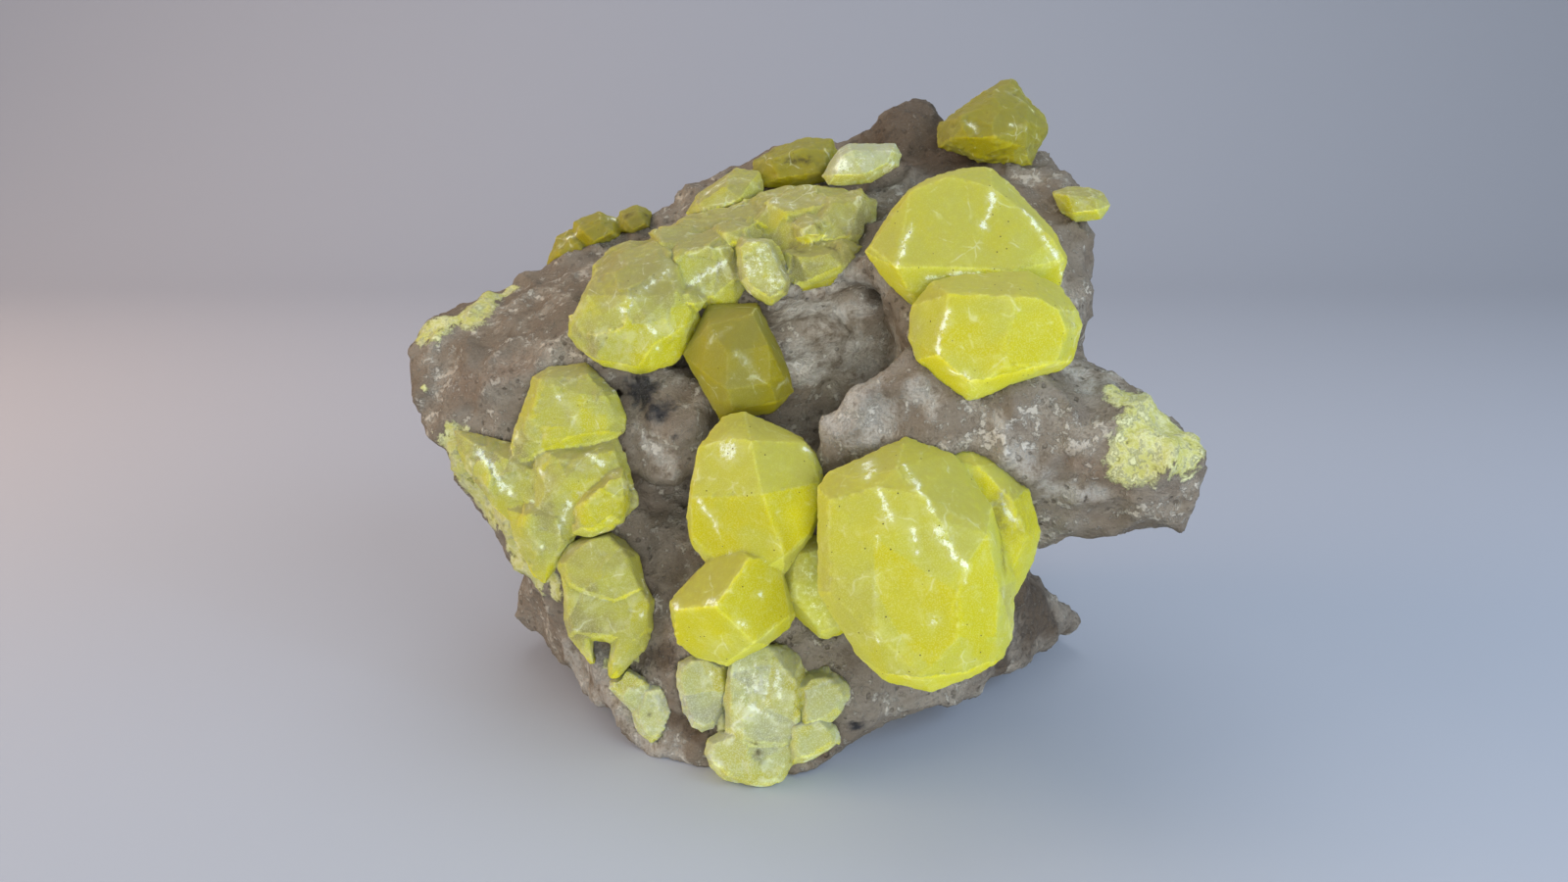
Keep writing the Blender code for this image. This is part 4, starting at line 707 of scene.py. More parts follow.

# %% [markdown]
# ## The crystals, one by one
# Every crystal or crystal group is dressed by the same steps, with its own amounts: the smooth
# crystals at the front need a fine skin and shallow relief, and the crusts along the top and
# the left rim are lumpier and more broken. The strokes say where each carries powder, where it
# is clear and deep in colour, and where it is stained. Some of them paint light and shade
# instead: a few powder strokes are painted highlights, a few stains are painted shade, and
# the painted light strokes lighten crystals that sit in shade.

# %% Amounts and strokes of each crystal group
CRYSTALS = {
    "front_twin": {
        "finish": LEMON, "grain": 0.30, "chips": 0.45, "rough": 0.12,
        "tones": [
            ((12.0, -2.5), 0.25), ((7.5, -12.0), 0.5), ((18.0, -14.0), 0.62), ((28.0, -7.0), 0.3),
            ((30.5, -26.0), 1.0), ((10.0, -28.0), 0.5), ((20.0, -34.0), 0.6), ((37.0, -10.0), 0.9),
            ((34.0, -16.0), 1.0), ((24.0, -5.0), 0.3),
        ],
        "powder_and_highlight": [
            ([(13.4, -3.6), (13.0, -5.4)], 2.4), ([(14.4, -7.6), (15.2, -9.8), (16.6, -12.2)], 1.3),
            ([(19.6, -13.4), (20.1, -15.2)], 1.6), ([(20.3, -16.8)], 1.1),
            ([(18.4, -3.6), (21.3, -8.4), (23.1, -11.3)], 1.3), ([(23.8, -13.6), (25.2, -16.0)], 2.1),
            ([(25.2, -16.0), (27.6, -19.1), (27.5, -21.4)], 1.3), ([(22.8, -26.6), (23.4, -27.6)], 2.1),
            ([(14.1, -14.3), (14.1, -30.3)], 0.8), ([(33.0, -8.0), (35.4, -12.4)], 1.3),
        ],
        "deep": [
            ([(19.4, -2.2)], 2.5), ([(28.8, -21.5), (31.0, -33.0)], 4.6), ([(34.2, -8), (35.5, -20)], 4.5),
            ([(40, -8), (42, -16)], 2.5, 0.5),
        ],
        # Painted shade: both stains here darken the shaded groove of the shoulder.
        "stain": [
            ([(33.0, -8.0), (33.4, -13.0), (33.6, -19.0)], 2.2, 0.55),
            ([(35.6, -8.0), (36.4, -14.0)], 5, 0.24),
        ],
    },
    "centre_crystals": {
        "finish": LEMON, "grain": 0.28, "chips": 0.4, "rough": 0.12,
        "tones": [
            ((-4.0, 0.5), 0.05), ((-9.0, -7.5), 0.4), ((4.0, -7.0), 0.35), ((-8.0, -14.0), 0.8),
            ((2.0, -13.0), 0.4), ((-12.0, -21.0), 0.5), ((-1.5, -26.5), 1.0), ((-10.0, -29.0), 0.7),
            ((4.0, -21.5), 0.4), ((4.5, -26.0), 0.4), ((3.0, -18.5), 0.4),
        ],
        "powder_and_highlight": [
            ([(-9.4, -0.6), (-8.2, -1.0)], 2.9), ([(3.2, -1.0), (4.2, -1.8)], 1.6),
            ([(-12.7, -9.2), (-9.9, -14.0)], 1.1), ([(-4.6, -23.8), (-3.2, -24.6)], 1.8),
            ([(-16.6, -24.8), (-16.0, -25.8)], 1.6), ([(-11.4, -24.6), (-10.4, -25.2)], 1.4),
            ([(-7.0, -27.6), (-5.8, -28.4)], 1.1), ([(-8.4, -17.4), (-2.6, -18.4)], 1.1),
            ([(3.5, -18.5), (4.0, -22.0), (5.5, -26.5)], 5.0, 0.7),
        ],
        "deep": [([(-1.2, -27.0), (-0.4, -29.5)], 3.0), ([(-13, -14), (-11, -17)], 3.0)],
        # Painted light: these strokes paint the shaded crystals behind and below lighter.
        "painted_light_strokes": [
            ([(4.0, -17.0), (5.0, -22.0), (6.0, -27.0)], 7, 0.6), ([(3.0, -11.0), (2.0, -15.0)], 5, 0.6),
            ([(-13.0, -28.0), (-8.0, -31.0)], 5, 0.4),
        ],
        "stain": [([(-9.0, 2.6), (-3.0, 2.6)], 4, 0.14)],
    },
    "shoulder_pair": {
        "finish": LEMON, "grain": 0.29, "chips": 0.4, "rough": 0.11,
        "tones": [
            ((28.0, 34.0), 0.62), ((18.0, 30.0), 0.55), ((36.0, 38.0), 0.25), ((41.0, 28.0), 0.4),
            ((29.0, 14.0), 0.55), ((40.0, 16.0), 0.7), ((30.0, 24.0), 0.3), ((22.0, 17.0), 0.4),
            ((26.0, 9.0), 0.9), ((38.0, 8.0), 0.6),
        ],
        "powder_and_highlight": [
            ([(19.5, 33.0), (18.4, 29.6), (17.2, 26.6)], 1.1), ([(32.0, 38.0), (30.6, 32.6)], 1.4),
            ([(24.7, 19.6), (24.0, 16.4), (23.2, 13.6)], 1.3), ([(25.4, 11.0), (28.6, 9.4)], 1.4),
            ([(36.5, 35.5), (40.5, 30.0), (42.6, 25.6)], 1.3), ([(22.0, 25.0), (30.0, 26.0)], 1.1),
        ],
        "deep": [
            ([(24, 31), (32, 30)], 6.0, 0.5), ([(20, 32), (38, 30)], 5.0, 0.5), ([(34, 12), (41, 17)], 4.0),
            ([(27, 15), (31, 12)], 5, 0.5), ([(38, 33), (43, 26)], 5, 0.8), ([(36, 8), (44, 13)], 4, 0.8),
        ],
    },
    "hollow_crystal": {
        "finish": GREENISH, "grain": 0.26, "chips": 0.3, "rough": 0.05,
        "powder_and_highlight": [([(-7.0, 13.5), (-3.0, 9.0)], 1.4, 0.6), ([(-11.5, 14.5), (-8.0, 17.5)], 1.1, 0.5)],
        "deep": [([(-4, 16), (-2, 10)], 2.5)],
    },
    "upper_crust": {
        "finish": CLOUDED, "grain": 0.32, "chips": 0.5, "rough": 0.12, "facets": (6.0, 0.25),
        "plates": [
            ((-25.5, 15.7), 0.85), ((-31.2, 16.5), 0.6), ((-17.2, 14.7), 1.0), ((-21.0, 12.7), 1.0),
            ((-17.2, 19.8), 0.25), ((-27.0, 24.7), 0.55), ((-21.7, 24.0), 0.1), ((-22.5, 28.2), 0.45),
            ((-30.0, 21.0), 0.5), ((-12.0, 27.0), 0.35), ((-11.2, 22.5), 0.45), ((-15.0, 24.7), 0.55),
            ((-3.3, 26.5), 0.2), ((2.2, 26.2), 0.5), ((7.5, 27.7), 0.35), ((6.0, 24.3), 1.0),
            ((-4.5, 33.7), 0.5), ((3.0, 38.2), 0.6), ((7.5, 35.2), 0.4), ((12.0, 35.2), 0.05),
            ((-15.0, 31.5), 0.1), ((-9.0, 33.7), 0.25), ((6.0, 31.5), 0.3), ((-0.5, 35.8), 0.65),
        ],
        "powder_and_highlight": [
            ([(-5.5, 29.5), (-4.5, 25.5), (-1.2, 23.0)], 4.4, 0.8),
            # Painted highlight: the stroke from (-20.6, 18.0) paints a white highlight as powder.
            ([(-4.0, 30.0), (-1.0, 28.0), (0.5, 25.0)], 4.4, 0.75), ([(-20.6, 18.0), (-20.0, 16.6)], 1.6),
            ([(-1.5, 36.5), (1.5, 36.0)], 2.2, 0.8), ([(-22.8, 12.0)], 1.3),
            ([(-12.0, 23.2), (-10.0, 22.5)], 1.8, 0.6), ([(-3.8, 21.4)], 1.8),
            ([(-18.5, 27.5), (-18.0, 26.0)], 1.4, 0.6), ([(-5.4, 22.8), (-4.6, 22.0)], 1.4),
            ([(-6.4, 19.6), (-2.0, 19.4)], 1.3), ([(-21.8, 16.6), (-19.0, 13.8)], 1.4),
            ([(-14.0, 24.0), (-9.0, 27.0)], 1.9), ([(-2.0, 38.0), (6.0, 36.5), (10.0, 33.0)], 1.5, 0.6),
            ([(-25.0, 20.0), (-18.0, 26.0)], 1.6),
        ],
        "deep": [
            ([(-22, 12.2), (-17, 13.5), (-12.8, 17.5)], 3.4), ([(2, 23.8), (9, 25.6)], 2.2),
            ([(-3.0, 25.2)], 1.6),
        ],
        "stain": [
            ([(4.6, 33.6), (5.6, 32.4)], 1.4, 0.7), ([(1.0, 30.0), (2.4, 29.0)], 1.6, 0.6),
            ([(5.0, 31.0), (9.0, 28.5)], 0.9, 0.5),
        ],
    },
    "ridge_left_crystal": {
        "finish": CLOUDED, "grain": 0.26, "chips": 0.4, "rough": 0.11, "facets": (6.0, 0.10),
        "powder_and_highlight": [([(-12, 38), (-6, 40)], 1.3)],
    },
    "ridge_right_crystal": {
        "finish": GREENISH, "grain": 0.26, "chips": 0.4, "rough": 0.12, "facets": (6.0, 0.10),
        "tones": [((0, 44), 0.9), ((4, 44), 1.0), ((2, 42), 0.9), ((-1, 42.5), 0.9), ((6, 44), 1.0)],
        "powder_and_highlight": [([(2, 45)], 1.0, 0.5)],
        "deep": [([(-2, 42), (8, 45)], 5)],
        "stain": [([(0, 43), (4, 43)], 1.6)],
    },
    "summit_crystal": {
        "finish": GREENISH, "grain": 0.26, "chips": 0.55, "rough": 0.14, "facets": (5.0, 0.13),
        "plates": [
            ((34.2, 52.4), 0.8), ((29.5, 49.6), 1.0), ((37.0, 50.3), 0.2), ((30.1, 45.5), 1.0),
            ((26.7, 48.3), 0.4), ((36.3, 45.5), 0.9), ((31.5, 42.8), 0.6),
        ],
        "powder_and_highlight": [
            # Painted highlights: the first two strokes paint white highlights as powder.
            ([(28.0, 49.0), (29.5, 47.2)], 1.4), ([(34.9, 48.3), (37.0, 48.0)], 1.2),
            ([(34.0, 53.5), (38.0, 50.5)], 1.0, 0.8),
        ],
        "deep": [([(29, 47), (35, 47)], 4.5)],
        "stain": [([(28.0, 43.6), (32.0, 43.0)], 1.0)],
    },
    "edge_crystal": {
        "finish": CLOUDED, "grain": 0.24, "chips": 0.35, "rough": 0.12,
        "tones": [((44, 36), 0.7), ((47, 36.5), 0.6), ((46, 38), 0.5)],
        "powder_and_highlight": [([(45, 36.5)], 0.9)],
        "deep": [([(43.5, 36), (48, 36)], 2.0)],
    },
    "pale_blade": {
        "finish": CHALKY, "grain": 0.24, "chips": 0.4, "rough": 0.09,
        "powder_and_highlight": [([(8.0, 42.0), (17.0, 42.5)], 2.9)],
        "deep": [([(9, 44.5), (14, 45)], 1.2)],
    },
    "back_left_crystals": {
        "finish": GREENISH, "grain": 0.26, "chips": 0.4, "rough": 0.12, "facets": (5.0, 0.14),
        "powder_and_highlight": [([(-33, 31), (-26, 34)], 1.4)],
        "deep": [([(-34, 29), (-30, 31)], 1.6)],
        "stain": [([(-24, 34.5), (-21, 34.5)], 0.9)],
    },
    "left_rim_crystals": {
        "finish": CLOUDED, "grain": 0.30, "chips": 0.6, "rough": 0.14, "facets": (5.0, 0.30),
        "ragged": [
            ([(-45, -2), (-40, -8), (-36, -14)], 7), ([(-36, -5), (-28, -4), (-28, -13), (-36, -17)], 8),
        ],
        "plates": [
            ((-34.6, 6.8), 0.3), ((-29.4, 3.9), 0.55), ((-32.3, 10.3), 0.5), ((-38.1, 3.3), 0.25),
            ((-27.7, -8.8), 1.0), ((-25.4, -3.0), 0.6), ((-38.1, -5.3), 0.8), ((-32.3, -6.5), 0.3),
            ((-45.6, -1.9), 0.8), ((-42.7, -5.3), 0.4), ((-39.8, -9.9), 0.6), ((-35.8, -12.2), 0.4),
            ((-34.0, -15.7), 0.6), ((-30.0, -12.5), 0.9),
        ],
        "powder_and_highlight": [
            ([(-33.9, 6.6)], 2.1), ([(-37.0, -5.0), (-33.0, -9.0), (-34.5, -14.0)], 1.4),
            ([(-30.0, -2.0), (-26.0, -5.0)], 1.4), ([(-47.0, -1.0), (-42.0, -8.0)], 1.6),
            ([(-38.5, -9.0), (-37.0, -16.0)], 1.6), ([(-28.0, -14.0), (-25.0, -16.0)], 1.3),
        ],
        "deep": [([(-30.5, -7.5), (-26.5, -13.0)], 3.2), ([(-31, 6), (-28, 2)], 2.5)],
    },
    "lower_left_crystal": {
        "finish": CLOUDED, "grain": 0.28, "chips": 0.5, "rough": 0.1, "facets": (7.0, 0.16),
        "plates": [
            ((-30.0, -18.7), 0.5), ((-24.7, -19.5), 0.35), ((-30.0, -27.0), 0.2), ((-22.5, -27.7), 0.65),
            ((-33.3, -22.5), 0.6), ((-26.2, -34.0), 0.6),
        ],
        "powder_and_highlight": [
            ([(-21.9, -21.0), (-21.0, -23.2)], 1.6), ([(-22.0, -26.2)], 1.1),
            ([(-32.5, -17.0), (-30.0, -15.5)], 1.1, 0.6),
        ],
        "stain": [([(-27.8, -30.4)], 1.2)],
    },
    "low_left_crust": {
        "finish": CHALKY, "grain": 0.24, "chips": 0.5, "rough": 0.17, "facets": (4.5, 0.20),
        "plates": [((-24.4, -36.7), 0.35), ((-20.0, -39.9), 0.1), ((-20.0, -44.2), 0.3)],
        "powder_and_highlight": [([(-25, -34), (-21, -38), (-19.5, -44)], 4.2, 0.5)],
        "stain": [([(-20.5, -42)], 1.2)],
    },
    "foot_small_crystal": {
        "finish": CHALKY, "grain": 0.24, "chips": 0.4, "rough": 0.12, "facets": (5.0, 0.12),
        "plates": [((-14.2, -37.5), 0.6), ((-11.2, -39.7), 0.1), ((-9.7, -36.0), 1.0)],
        "powder_and_highlight": [([(-11.8, -34.2), (-10.8, -36.0)], 1.4), ([(-13.0, -43.0), (-12.0, -43.6)], 1.6, 0.6)],
        "deep": [([(-9.6, -35), (-9.4, -38)], 1.6)],
    },
    "foot_plates": {
        "finish": CHALKY, "grain": 0.28, "chips": 0.55, "rough": 0.17, "facets": (6.0, 0.16),
        "plates": [
            ((-3.7, -35.0), 0.05), ((0.3, -33.2), 1.0), ((2.6, -39.0), 1.0), ((-5.5, -41.5), 0.7),
            ((-1.2, -43.0), 0.35), ((-8.5, -46.5), 0.5), ((-1.9, -50.5), 0.7), ((5.2, -39.0), 0.45),
            ((4.5, -45.7), 0.75),
        ],
        "powder_and_highlight": [
            ([(-6.5, -33.5), (-6.2, -40.5)], 2.2, 0.8), ([(-4.5, -33.0), (-4.4, -38.5)], 1.6, 0.9),
            ([(-2.6, -34.0), (-2.2, -40.0)], 1.8, 0.8), ([(-1.0, -35.5), (-0.8, -39.0)], 1.2),
            ([(-6.0, -40.0), (-2.0, -42.0)], 1.6), ([(-1.5, -44.5)], 1.8),
        ],
        "deep": [
            ([(-5.0, -51.0), (-2.5, -52.0)], 2.0), ([(0, -32.5), (1.6, -34.0)], 2.0),
            ([(2.6, -36), (2.6, -44)], 1.8), ([(-6.2, -42)], 1.8, 0.7),
        ],
        "stain": [([(-4.8, -46.0), (-3.6, -48.6)], 1.5), ([(2.0, -33.5), (3.2, -34.5)], 1.2, 0.5)],
    },
}
print("crystal groups", len(CRYSTALS), "of", len(CRYSTAL_NODES))

# %% Dressing the crystals
EDGE_WIDTH = 0.7
CHIP_SIZE = 1.1
CRYSTAL_WEAR = 1
FACET_LIFT = 0.125
FACETS_LEFT = 0.35
PLATE_SHARE = 0.7
USUAL_CLEAR = 0.45
OLD_EDGES_LEFT = 0.6
BORDER_PEAK = 0.8
BORDER_WIDTH = 0.5
QUICK_GRAIN = 1.0


def break_up(places, normals, tree, tones, near_edge, amounts):
    """Break a skin into small facets, where its amounts ask for them."""
    if "facets" not in amounts:
        return places, tones, near_edge
    size, slope = amounts["facets"]
    heights, clear, borders = small_facets(places, tree, size, slope, amounts.get("plates", []))
    shown = 1.0
    if "ragged" in amounts:
        shown = FACETS_LEFT + (1 - FACETS_LEFT) * strokes_mask(places, tree, amounts["ragged"])
    places = places + normals * (shown * (heights + FACET_LIFT * slope * size))[:, None] * MM
    if "plates" in amounts:
        tones = (1 - PLATE_SHARE) * tones + PLATE_SHARE * clear
    else:
        tones = tones + clear - USUAL_CLEAR
    borders = np.clip(BORDER_PEAK - borders / BORDER_WIDTH, 0, 1)
    return places, tones, np.maximum(near_edge * OLD_EDGES_LEFT, borders)


def keep_marks(mesh, places, facing, tree, tones, near_edge, amounts):
    """Everything that the finish has to know about each vertex."""
    keep_mask(mesh, "edge", near_edge)
    # Painted light: faces that look down get a higher tone, so they take the deep clear colour as if lit
    # through the crystal.
    keep_mask(mesh, "facet", tones + 0.35 * step_up(-facing[:, 2], 0.15, 0.8))
    keep_mask(mesh, "dust", step_up(facing[:, 2], 0.25, 0.75))
    for kind in ("powder_and_highlight", "deep", "stain"):
        keep_mask(mesh, kind, strokes_mask(places, tree, amounts.get(kind, [])))
    # Painted light: a mask of named strokes and of faces that look down, where the finish paints the colour
    # lighter.
    painted_light_strokes = strokes_mask(places, tree, amounts.get("painted_light_strokes", []))
    keep_mask(mesh, "painted_light", np.maximum(painted_light_strokes, 0.8 * step_up(-facing[:, 2], 0.1, 0.8)))


def dress(name, amounts):
    """One crystal group's skin, marks and finish, in place of its plain solid."""
    facets = solid_copy(name)
    skin = new_object(name + "_skin", facets.copy())
    remesh(skin, amounts["grain"] * QUICK_GRAIN)
    soften(skin, CRYSTAL_WEAR)
    relief(skin, "CLOUDS", 3.0, amounts["rough"] * 1.6)
    relief(skin, "VORONOI", 1.4, amounts["rough"] * 0.5)
    bake(skin)
    places = places_of(skin.data)
    normals = normals_of(skin.data)
    tree = tree_of(facets)
    facing = faces_under(places, tree)
    tones = face_tones(places, facing, tree, amounts.get("tones", []))
    near_edge = np.clip(1 - edge_distance(places, sharp_edge_tree(facets)) / EDGE_WIDTH, 0, 1)
    places, tones, near_edge = break_up(places, normals, tree, tones, near_edge, amounts)
    places = chip(places, normals, near_edge, amounts["chips"], CHIP_SIZE)
    move_to(skin.data, places)
    keep_marks(skin.data, places, facing, tree, tones, near_edge, amounts)
    facets.free()
    skin.data.materials.clear()
    skin.data.materials.append(amounts["finish"])
    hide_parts(name)
    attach(skin, "root")
    print(name, 2 * len(skin.data.polygons), "triangles")
    return skin


skins = {name: dress(name, amounts) for name, amounts in CRYSTALS.items()}

# %% [markdown]
# ## The limestone block
# The rock is weathered, hollowed limestone: broad lumps, sharp ledges, small pits and a gritty
# surface, all at once. One texture never looks like that, so several are stacked, from nine
# millimetres down to about one. Where a crystal stands in the rock, the skin is drawn
# up to the crystal, so that no gap shows round its root.

# %% The rock's skin
ROCK_GRAIN = 0.83
SEAL_REACH = 1.1
SEAL_DEPTH = 0.15


def seal(places, tree, reach, depth):
    """Draw vertices that lie within reach of the crystals on to their faces and a little in."""
    for i, place in enumerate(places):
        spot, normal = tree.find_nearest(Vector(place), reach * MM)[:2]
        if spot:
            places[i] = spot - normal * depth * MM
    return places


rock = new_object("limestone_block", solid_copy("matrix"))
remesh(rock, ROCK_GRAIN)
soften(rock, 3)
relief(rock, "CLOUDS", 6.0, 1.4)
ridges = relief(rock, "MUSGRAVE", 9.0, 1.0)
ridges.musgrave_type = "RIDGED_MULTIFRACTAL"
ridges.octaves = 5
relief(rock, "VORONOI", 3.2, 0.6)
relief(rock, "CLOUDS", 1.3, 0.7)
bake(rock)
all_crystals = bmesh.new()
for skin in skins.values():
    all_crystals.from_mesh(skin.data)
crystal_tree = tree_of(all_crystals)
all_crystals.free()
rock_places = seal(places_of(rock.data), crystal_tree, SEAL_REACH, SEAL_DEPTH)
rock_places[:, 2] = np.maximum(rock_places[:, 2], 0)
move_to(rock.data, rock_places)
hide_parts("matrix")
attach(rock, "root")
print("rock triangles", 2 * len(rock.data.polygons))

# %% Stains, crusts and the yellow coating on the rock
COAT_HEIGHT = 0.45
CRUST_HEIGHT = 0.25
ROCK_STROKES = {
    "pale": [
        ([(6, 3), (11, 7), (14, 10), (18, 14)], 8), ([(10, 1), (16, 4)], 6), ([(19, 9), (22, 6)], 5),
        ([(40, 12), (47, 9), (50, 7)], 6), ([(36, -4), (42, -7), (48, -8)], 5), ([(33, 4), (34, 2)], 3),
        ([(-32, -36), (-26, -43), (-18, -47)], 6), ([(6, -47), (14, -45), (22, -42)], 5),
        ([(-23, 9), (-14, 9)], 3), ([(-22, 2), (-17, -6)], 4), ([(-33, -31), (-31, -37), (-25, -43)], 5),
        # Painted light: the three strokes on the next line and the first on the line after lie in the
        # hollow and paint its walls lighter; the others are lime crust.
        ([(2, 22), (6, 18), (12, 20)], 8), ([(1, 14), (6, 10)], 7), ([(6, 15), (13, 14)], 8),
        ([(4, 24), (14, 24)], 6), ([(-30, -30), (-27, -38), (-20, -46), (-12, -50)], 9),
        ([(-12, -44), (-9, -49)], 5), ([(8, -46), (12, -47)], 3),
    ],
    # Painted light: these strokes lie over the walls of the hollow and paint them lighter.
    "painted_cavity_light": [
        ([(3, 25), (9, 23), (15, 20)], 9), ([(1, 20), (6, 16), (12, 16)], 9),
        ([(0, 13), (4, 10), (9, 8)], 7),
    ],
    "dark": [
        ([(-21.6, 8.0), (-20.4, 6.0), (-19.0, 3.6)], 4.4), ([(-24.0, 8.4), (-21.5, 8.6)], 2.2),
        ([(-16.5, 0.6)], 1.5), ([(10.5, -43.6), (14, -44.2), (18.5, -43.2)], 3.4),
    ],
    "brown": [
        ([(15, 45), (20, 50), (24, 46), (26, 41)], 11), ([(-16, 40), (-10, 36)], 3),
        # Painted shade: the first two strokes on this line paint the shade under the overhanging arm.
        ([(36, -23), (41, -28), (44, -30)], 8), ([(30, -30), (34, -34)], 5), ([(-28, 0), (-24, -3)], 2),
        ([(-28.5, -29), (-28, -36)], 3.0), ([(13, 25.5), (15, 23)], 2.0), ([(-24, -32), (-18, -33)], 3.0),
        ([(-17, -42), (-12, -46)], 3.0),
    ],
    "rust": [
        ([(-24, 6), (-24.5, -2)], 3), ([(-14, 14), (-8, 6)], 4), ([(0, -49), (6, -48)], 4),
        ([(44, -3), (52, -6)], 4), ([(-50, 7), (-40, 12)], 6), ([(4, 22), (14, 20)], 6),
    ],
    "coat": [
        ([(50.5, 6.8), (54, 5.2), (58, 2.6), (62, 0.2), (64.8, -2.4)], 5.6),
        ([(52.8, -2.6), (57, -1.8), (61, -1.4)], 5.0), ([(55, 1.6), (61, 0)], 5.4),
        ([(-54, 16.5), (-48, 19.5), (-42.5, 22.6)], 3.6), ([(-55.2, 8)], 1.7),
        ([(-50.5, 1.5), (-47, -1.5)], 2.4), ([(-9.5, -34), (-9.0, -43)], 2.0),
        ([(3.0, -41), (4.0, -48)], 2.4), ([(-22.5, -33), (-26.5, -34)], 1.8),
        ([(-50, 0), (-48, -5), (-44.5, -9), (-42, -13.5), (-40, -18), (-38, -21)], 5.0),
        ([(-36, -19), (-34.5, -23)], 2.4), ([(-9.5, -34), (-9.0, -44)], 2.4),
        ([(1.5, -33), (3.4, -35)], 2.0),
    ],
}
plain_rock = bmesh.new()
plain_rock.from_mesh(rock.data)
rock_tree = tree_of(plain_rock)
plain_rock.free()
rock_marks = {}
for name, strokes in ROCK_STROKES.items():
    rock_marks[name] = strokes_mask(rock_places, rock_tree, strokes)
    keep_mask(rock.data, name, rock_marks[name])
coated = np.minimum(rock_marks["coat"] * 3, 1)
thickness = coated * COAT_HEIGHT + rock_marks["pale"] * CRUST_HEIGHT
rock_places = rock_places + normals_of(rock.data) * thickness[:, None] * MM
move_to(rock.data, rock_places)
print("rock marks", ", ".join(ROCK_STROKES))

# %% [markdown]
# ## The look of limestone
# Weathered limestone is grey-brown where it is bare, paler where it is bruised or crusted with
# lime, darker in its pits, and rusty where water ran. Wide noise sets the brown and grey
# patches, tight noise the grain. The strokes on the skin put the lime crust, the tarry spots,
# the rust and the thin lemon coating where they belong. Some strokes paint light and shade
# instead: the walls of the hollow are painted lighter, and the rock under the overhanging arm
# is painted darker brown, a painted shade.

# %% Limestone finish
stone = bpy.data.materials.new("weathered_limestone")
stone.use_nodes = True
tree = stone.node_tree
shader = tree.nodes["Principled BSDF"]
place = tree.nodes.new("ShaderNodeTexCoord").outputs["Object"]
wide = cloud(tree, place, 22, 4, 0.6, 0.6)
patch = cloud(tree, place, 7, 6, 0.65, 0.3)
fine = cloud(tree, place, 1.6, 6, 0.7)
grit = cloud(tree, place, 0.4, 4, 0.7)
pit = cells(tree, place, 2.2)
beds = cloud(tree, stretched(tree, place, (10, 25, 0), (0.25, 0.25, 1.0)), 2.2, 4, 0.6)

colour = blend(tree, ranged(tree, wide, 0.38, 0.62), (0.185, 0.152, 0.113, 1), (0.245, 0.218, 0.178, 1))
share = maths(tree, "MULTIPLY", ranged(tree, patch, 0.5, 0.62), 0.7)
colour = blend(tree, share, colour, (0.37, 0.335, 0.275, 1))
share = maths(tree, "MULTIPLY", ranged(tree, patch, 0.46, 0.30), 0.6)
colour = blend(tree, share, colour, (0.140, 0.113, 0.083, 1))
share = maths(tree, "MULTIPLY", ranged(tree, beds, 0.52, 0.36), 0.4)
colour = blend(tree, share, colour, (0.160, 0.130, 0.100, 1))
crust = ranged(tree, maths(tree, "ADD", fine, maths(tree, "MULTIPLY", patch, 0.6)), 0.84, 0.93)
colour = blend(tree, maths(tree, "MULTIPLY", crust, 0.75), colour, (0.52, 0.49, 0.42, 1))
share = maths(tree, "MULTIPLY", ranged(tree, fine, 0.45, 0.34), 0.65)
colour = blend(tree, share, colour, (0.12, 0.10, 0.075, 1))
hole = maths(tree, "ADD", pit, maths(tree, "MULTIPLY", fine, 0.5))
hole = maths(tree, "MULTIPLY", ranged(tree, hole, 0.46, 0.36), ranged(tree, wide, 0.48, 0.56))
colour = blend(tree, maths(tree, "MULTIPLY", hole, 0.5), colour, (0.10, 0.085, 0.065, 1))
ragged = maths(tree, "ADD", maths(tree, "MULTIPLY", fine, 1.8), maths(tree, "MULTIPLY", patch, 1.6))
ragged = maths(tree, "SUBTRACT", ragged, 1.7)


def ragged_mark(name, low, high, share):
    """A mark on the rock with a border broken up by noise."""
    shown = mark(tree, name)
    rough = ranged(tree, maths(tree, "ADD", shown, ragged), low, high)
    inside = ranged(tree, shown, 0.02, 0.2)
    return maths(tree, "MULTIPLY", maths(tree, "MULTIPLY", rough, inside), share)


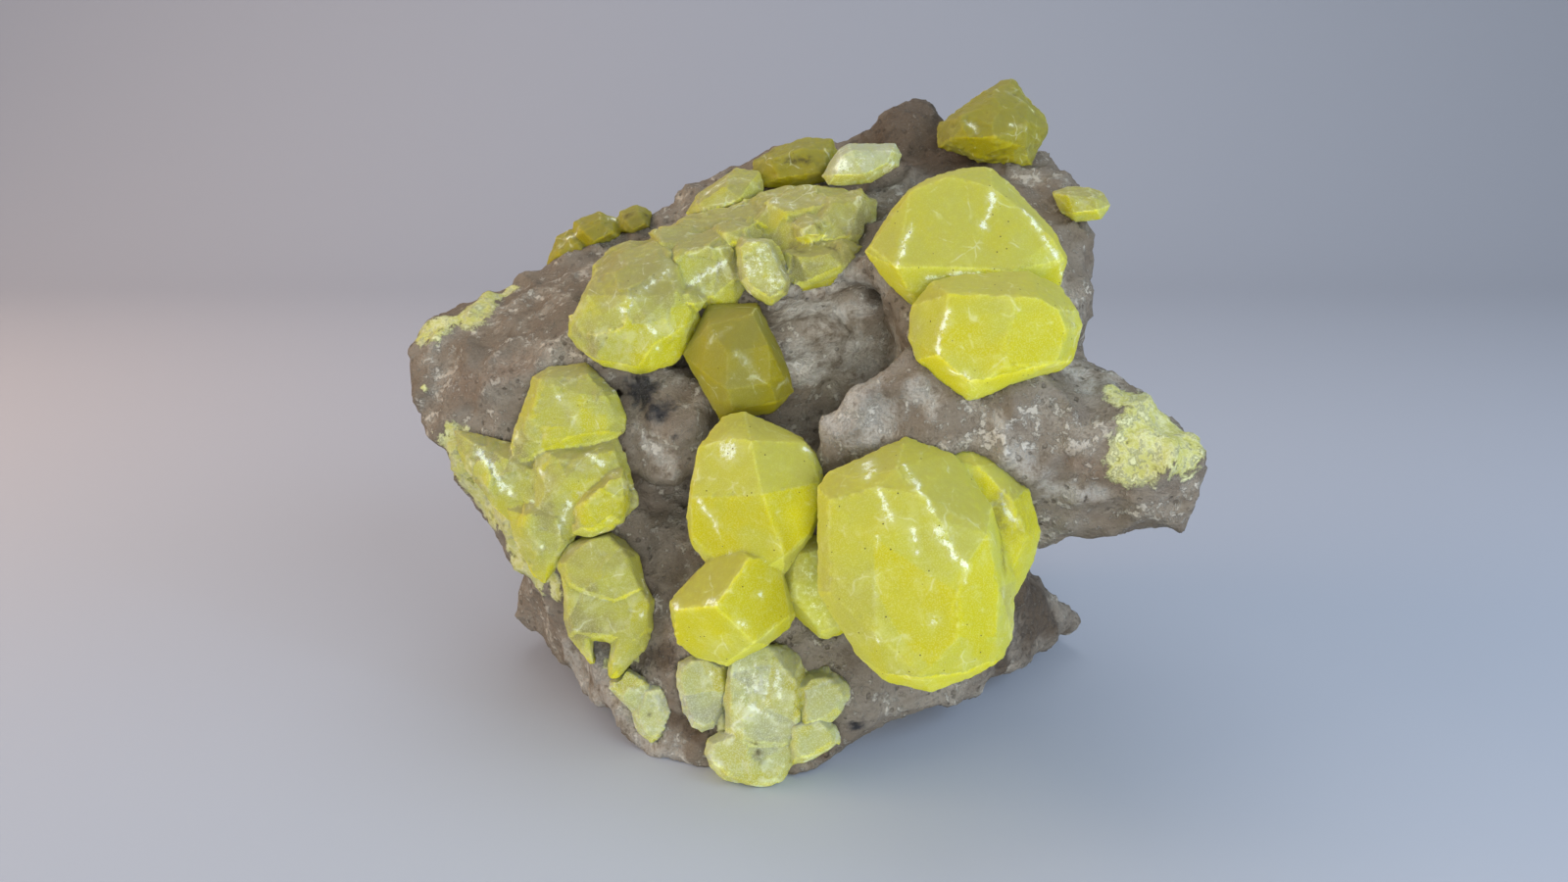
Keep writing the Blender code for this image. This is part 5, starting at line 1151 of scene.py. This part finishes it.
# Brown rock, and under the overhanging arm painted shade.
colour = blend(tree, ragged_mark("brown", 0.0, 0.8, 0.85), colour, (0.085, 0.062, 0.042, 1))
colour = blend(tree, ragged_mark("rust", 0.2, 1.1, 0.35), colour, (0.19, 0.115, 0.07, 1))
# Pale lime crust, and inside the hollow painted light.
colour = blend(tree, ragged_mark("pale", 0.45, 1.25, 0.7), colour, (0.54, 0.53, 0.49, 1))
# Painted light: the colour in the hollow is multiplied lighter where this mark lies.
share = maths(tree, "MULTIPLY", mark(tree, "painted_cavity_light"), 0.9)
colour = blend(tree, share, colour, (2.3, 2.35, 2.35, 1), kind="MULTIPLY")
colour = blend(tree, ragged_mark("dark", 0.25, 1.0, 0.93), colour, (0.022, 0.024, 0.030, 1))
coat = ragged_mark("coat", 0.25, 0.5, 0.95)
lemon = blend(tree, ranged(tree, fine, 0.4, 0.6), (0.52, 0.53, 0.16, 1), (0.68, 0.70, 0.38, 1))
colour = blend(tree, coat, colour, lemon)
share = maths(tree, "MULTIPLY", ranged(tree, grit, 0.55, 0.75), 0.25)
colour = blend(tree, share, colour, (0.62, 0.58, 0.50, 1))
tree.links.new(colour, shader.inputs["Base Color"])
tree.links.new(ranged(tree, fine, 0.3, 0.7, 0.95, 0.75), shader.inputs["Roughness"])
print("limestone colour nodes", len(tree.nodes))

# %% Limestone relief
height = maths(tree, "ADD", maths(tree, "MULTIPLY", fine, 0.9), maths(tree, "MULTIPLY", grit, 0.5))
height = maths(tree, "ADD", height, maths(tree, "MULTIPLY", hole, -1.2))
raised = maths(tree, "ADD", maths(tree, "MULTIPLY", coat, 0.5), crust)
height = maths(tree, "ADD", height, maths(tree, "MULTIPLY", raised, 0.6))
height = maths(tree, "ADD", height, maths(tree, "MULTIPLY", beds, 0.9))
bump = tree.nodes.new("ShaderNodeBump")
bump.inputs["Strength"].default_value = 0.8
bump.inputs["Distance"].default_value = 0.7 * MM
tree.links.new(height, bump.inputs["Height"])
tree.links.new(bump.outputs[0], shader.inputs["Normal"])
shader.inputs["Specular IOR Level"].default_value = 0.25
rock.data.materials.clear()
rock.data.materials.append(stone)
print("limestone nodes", len(tree.nodes))
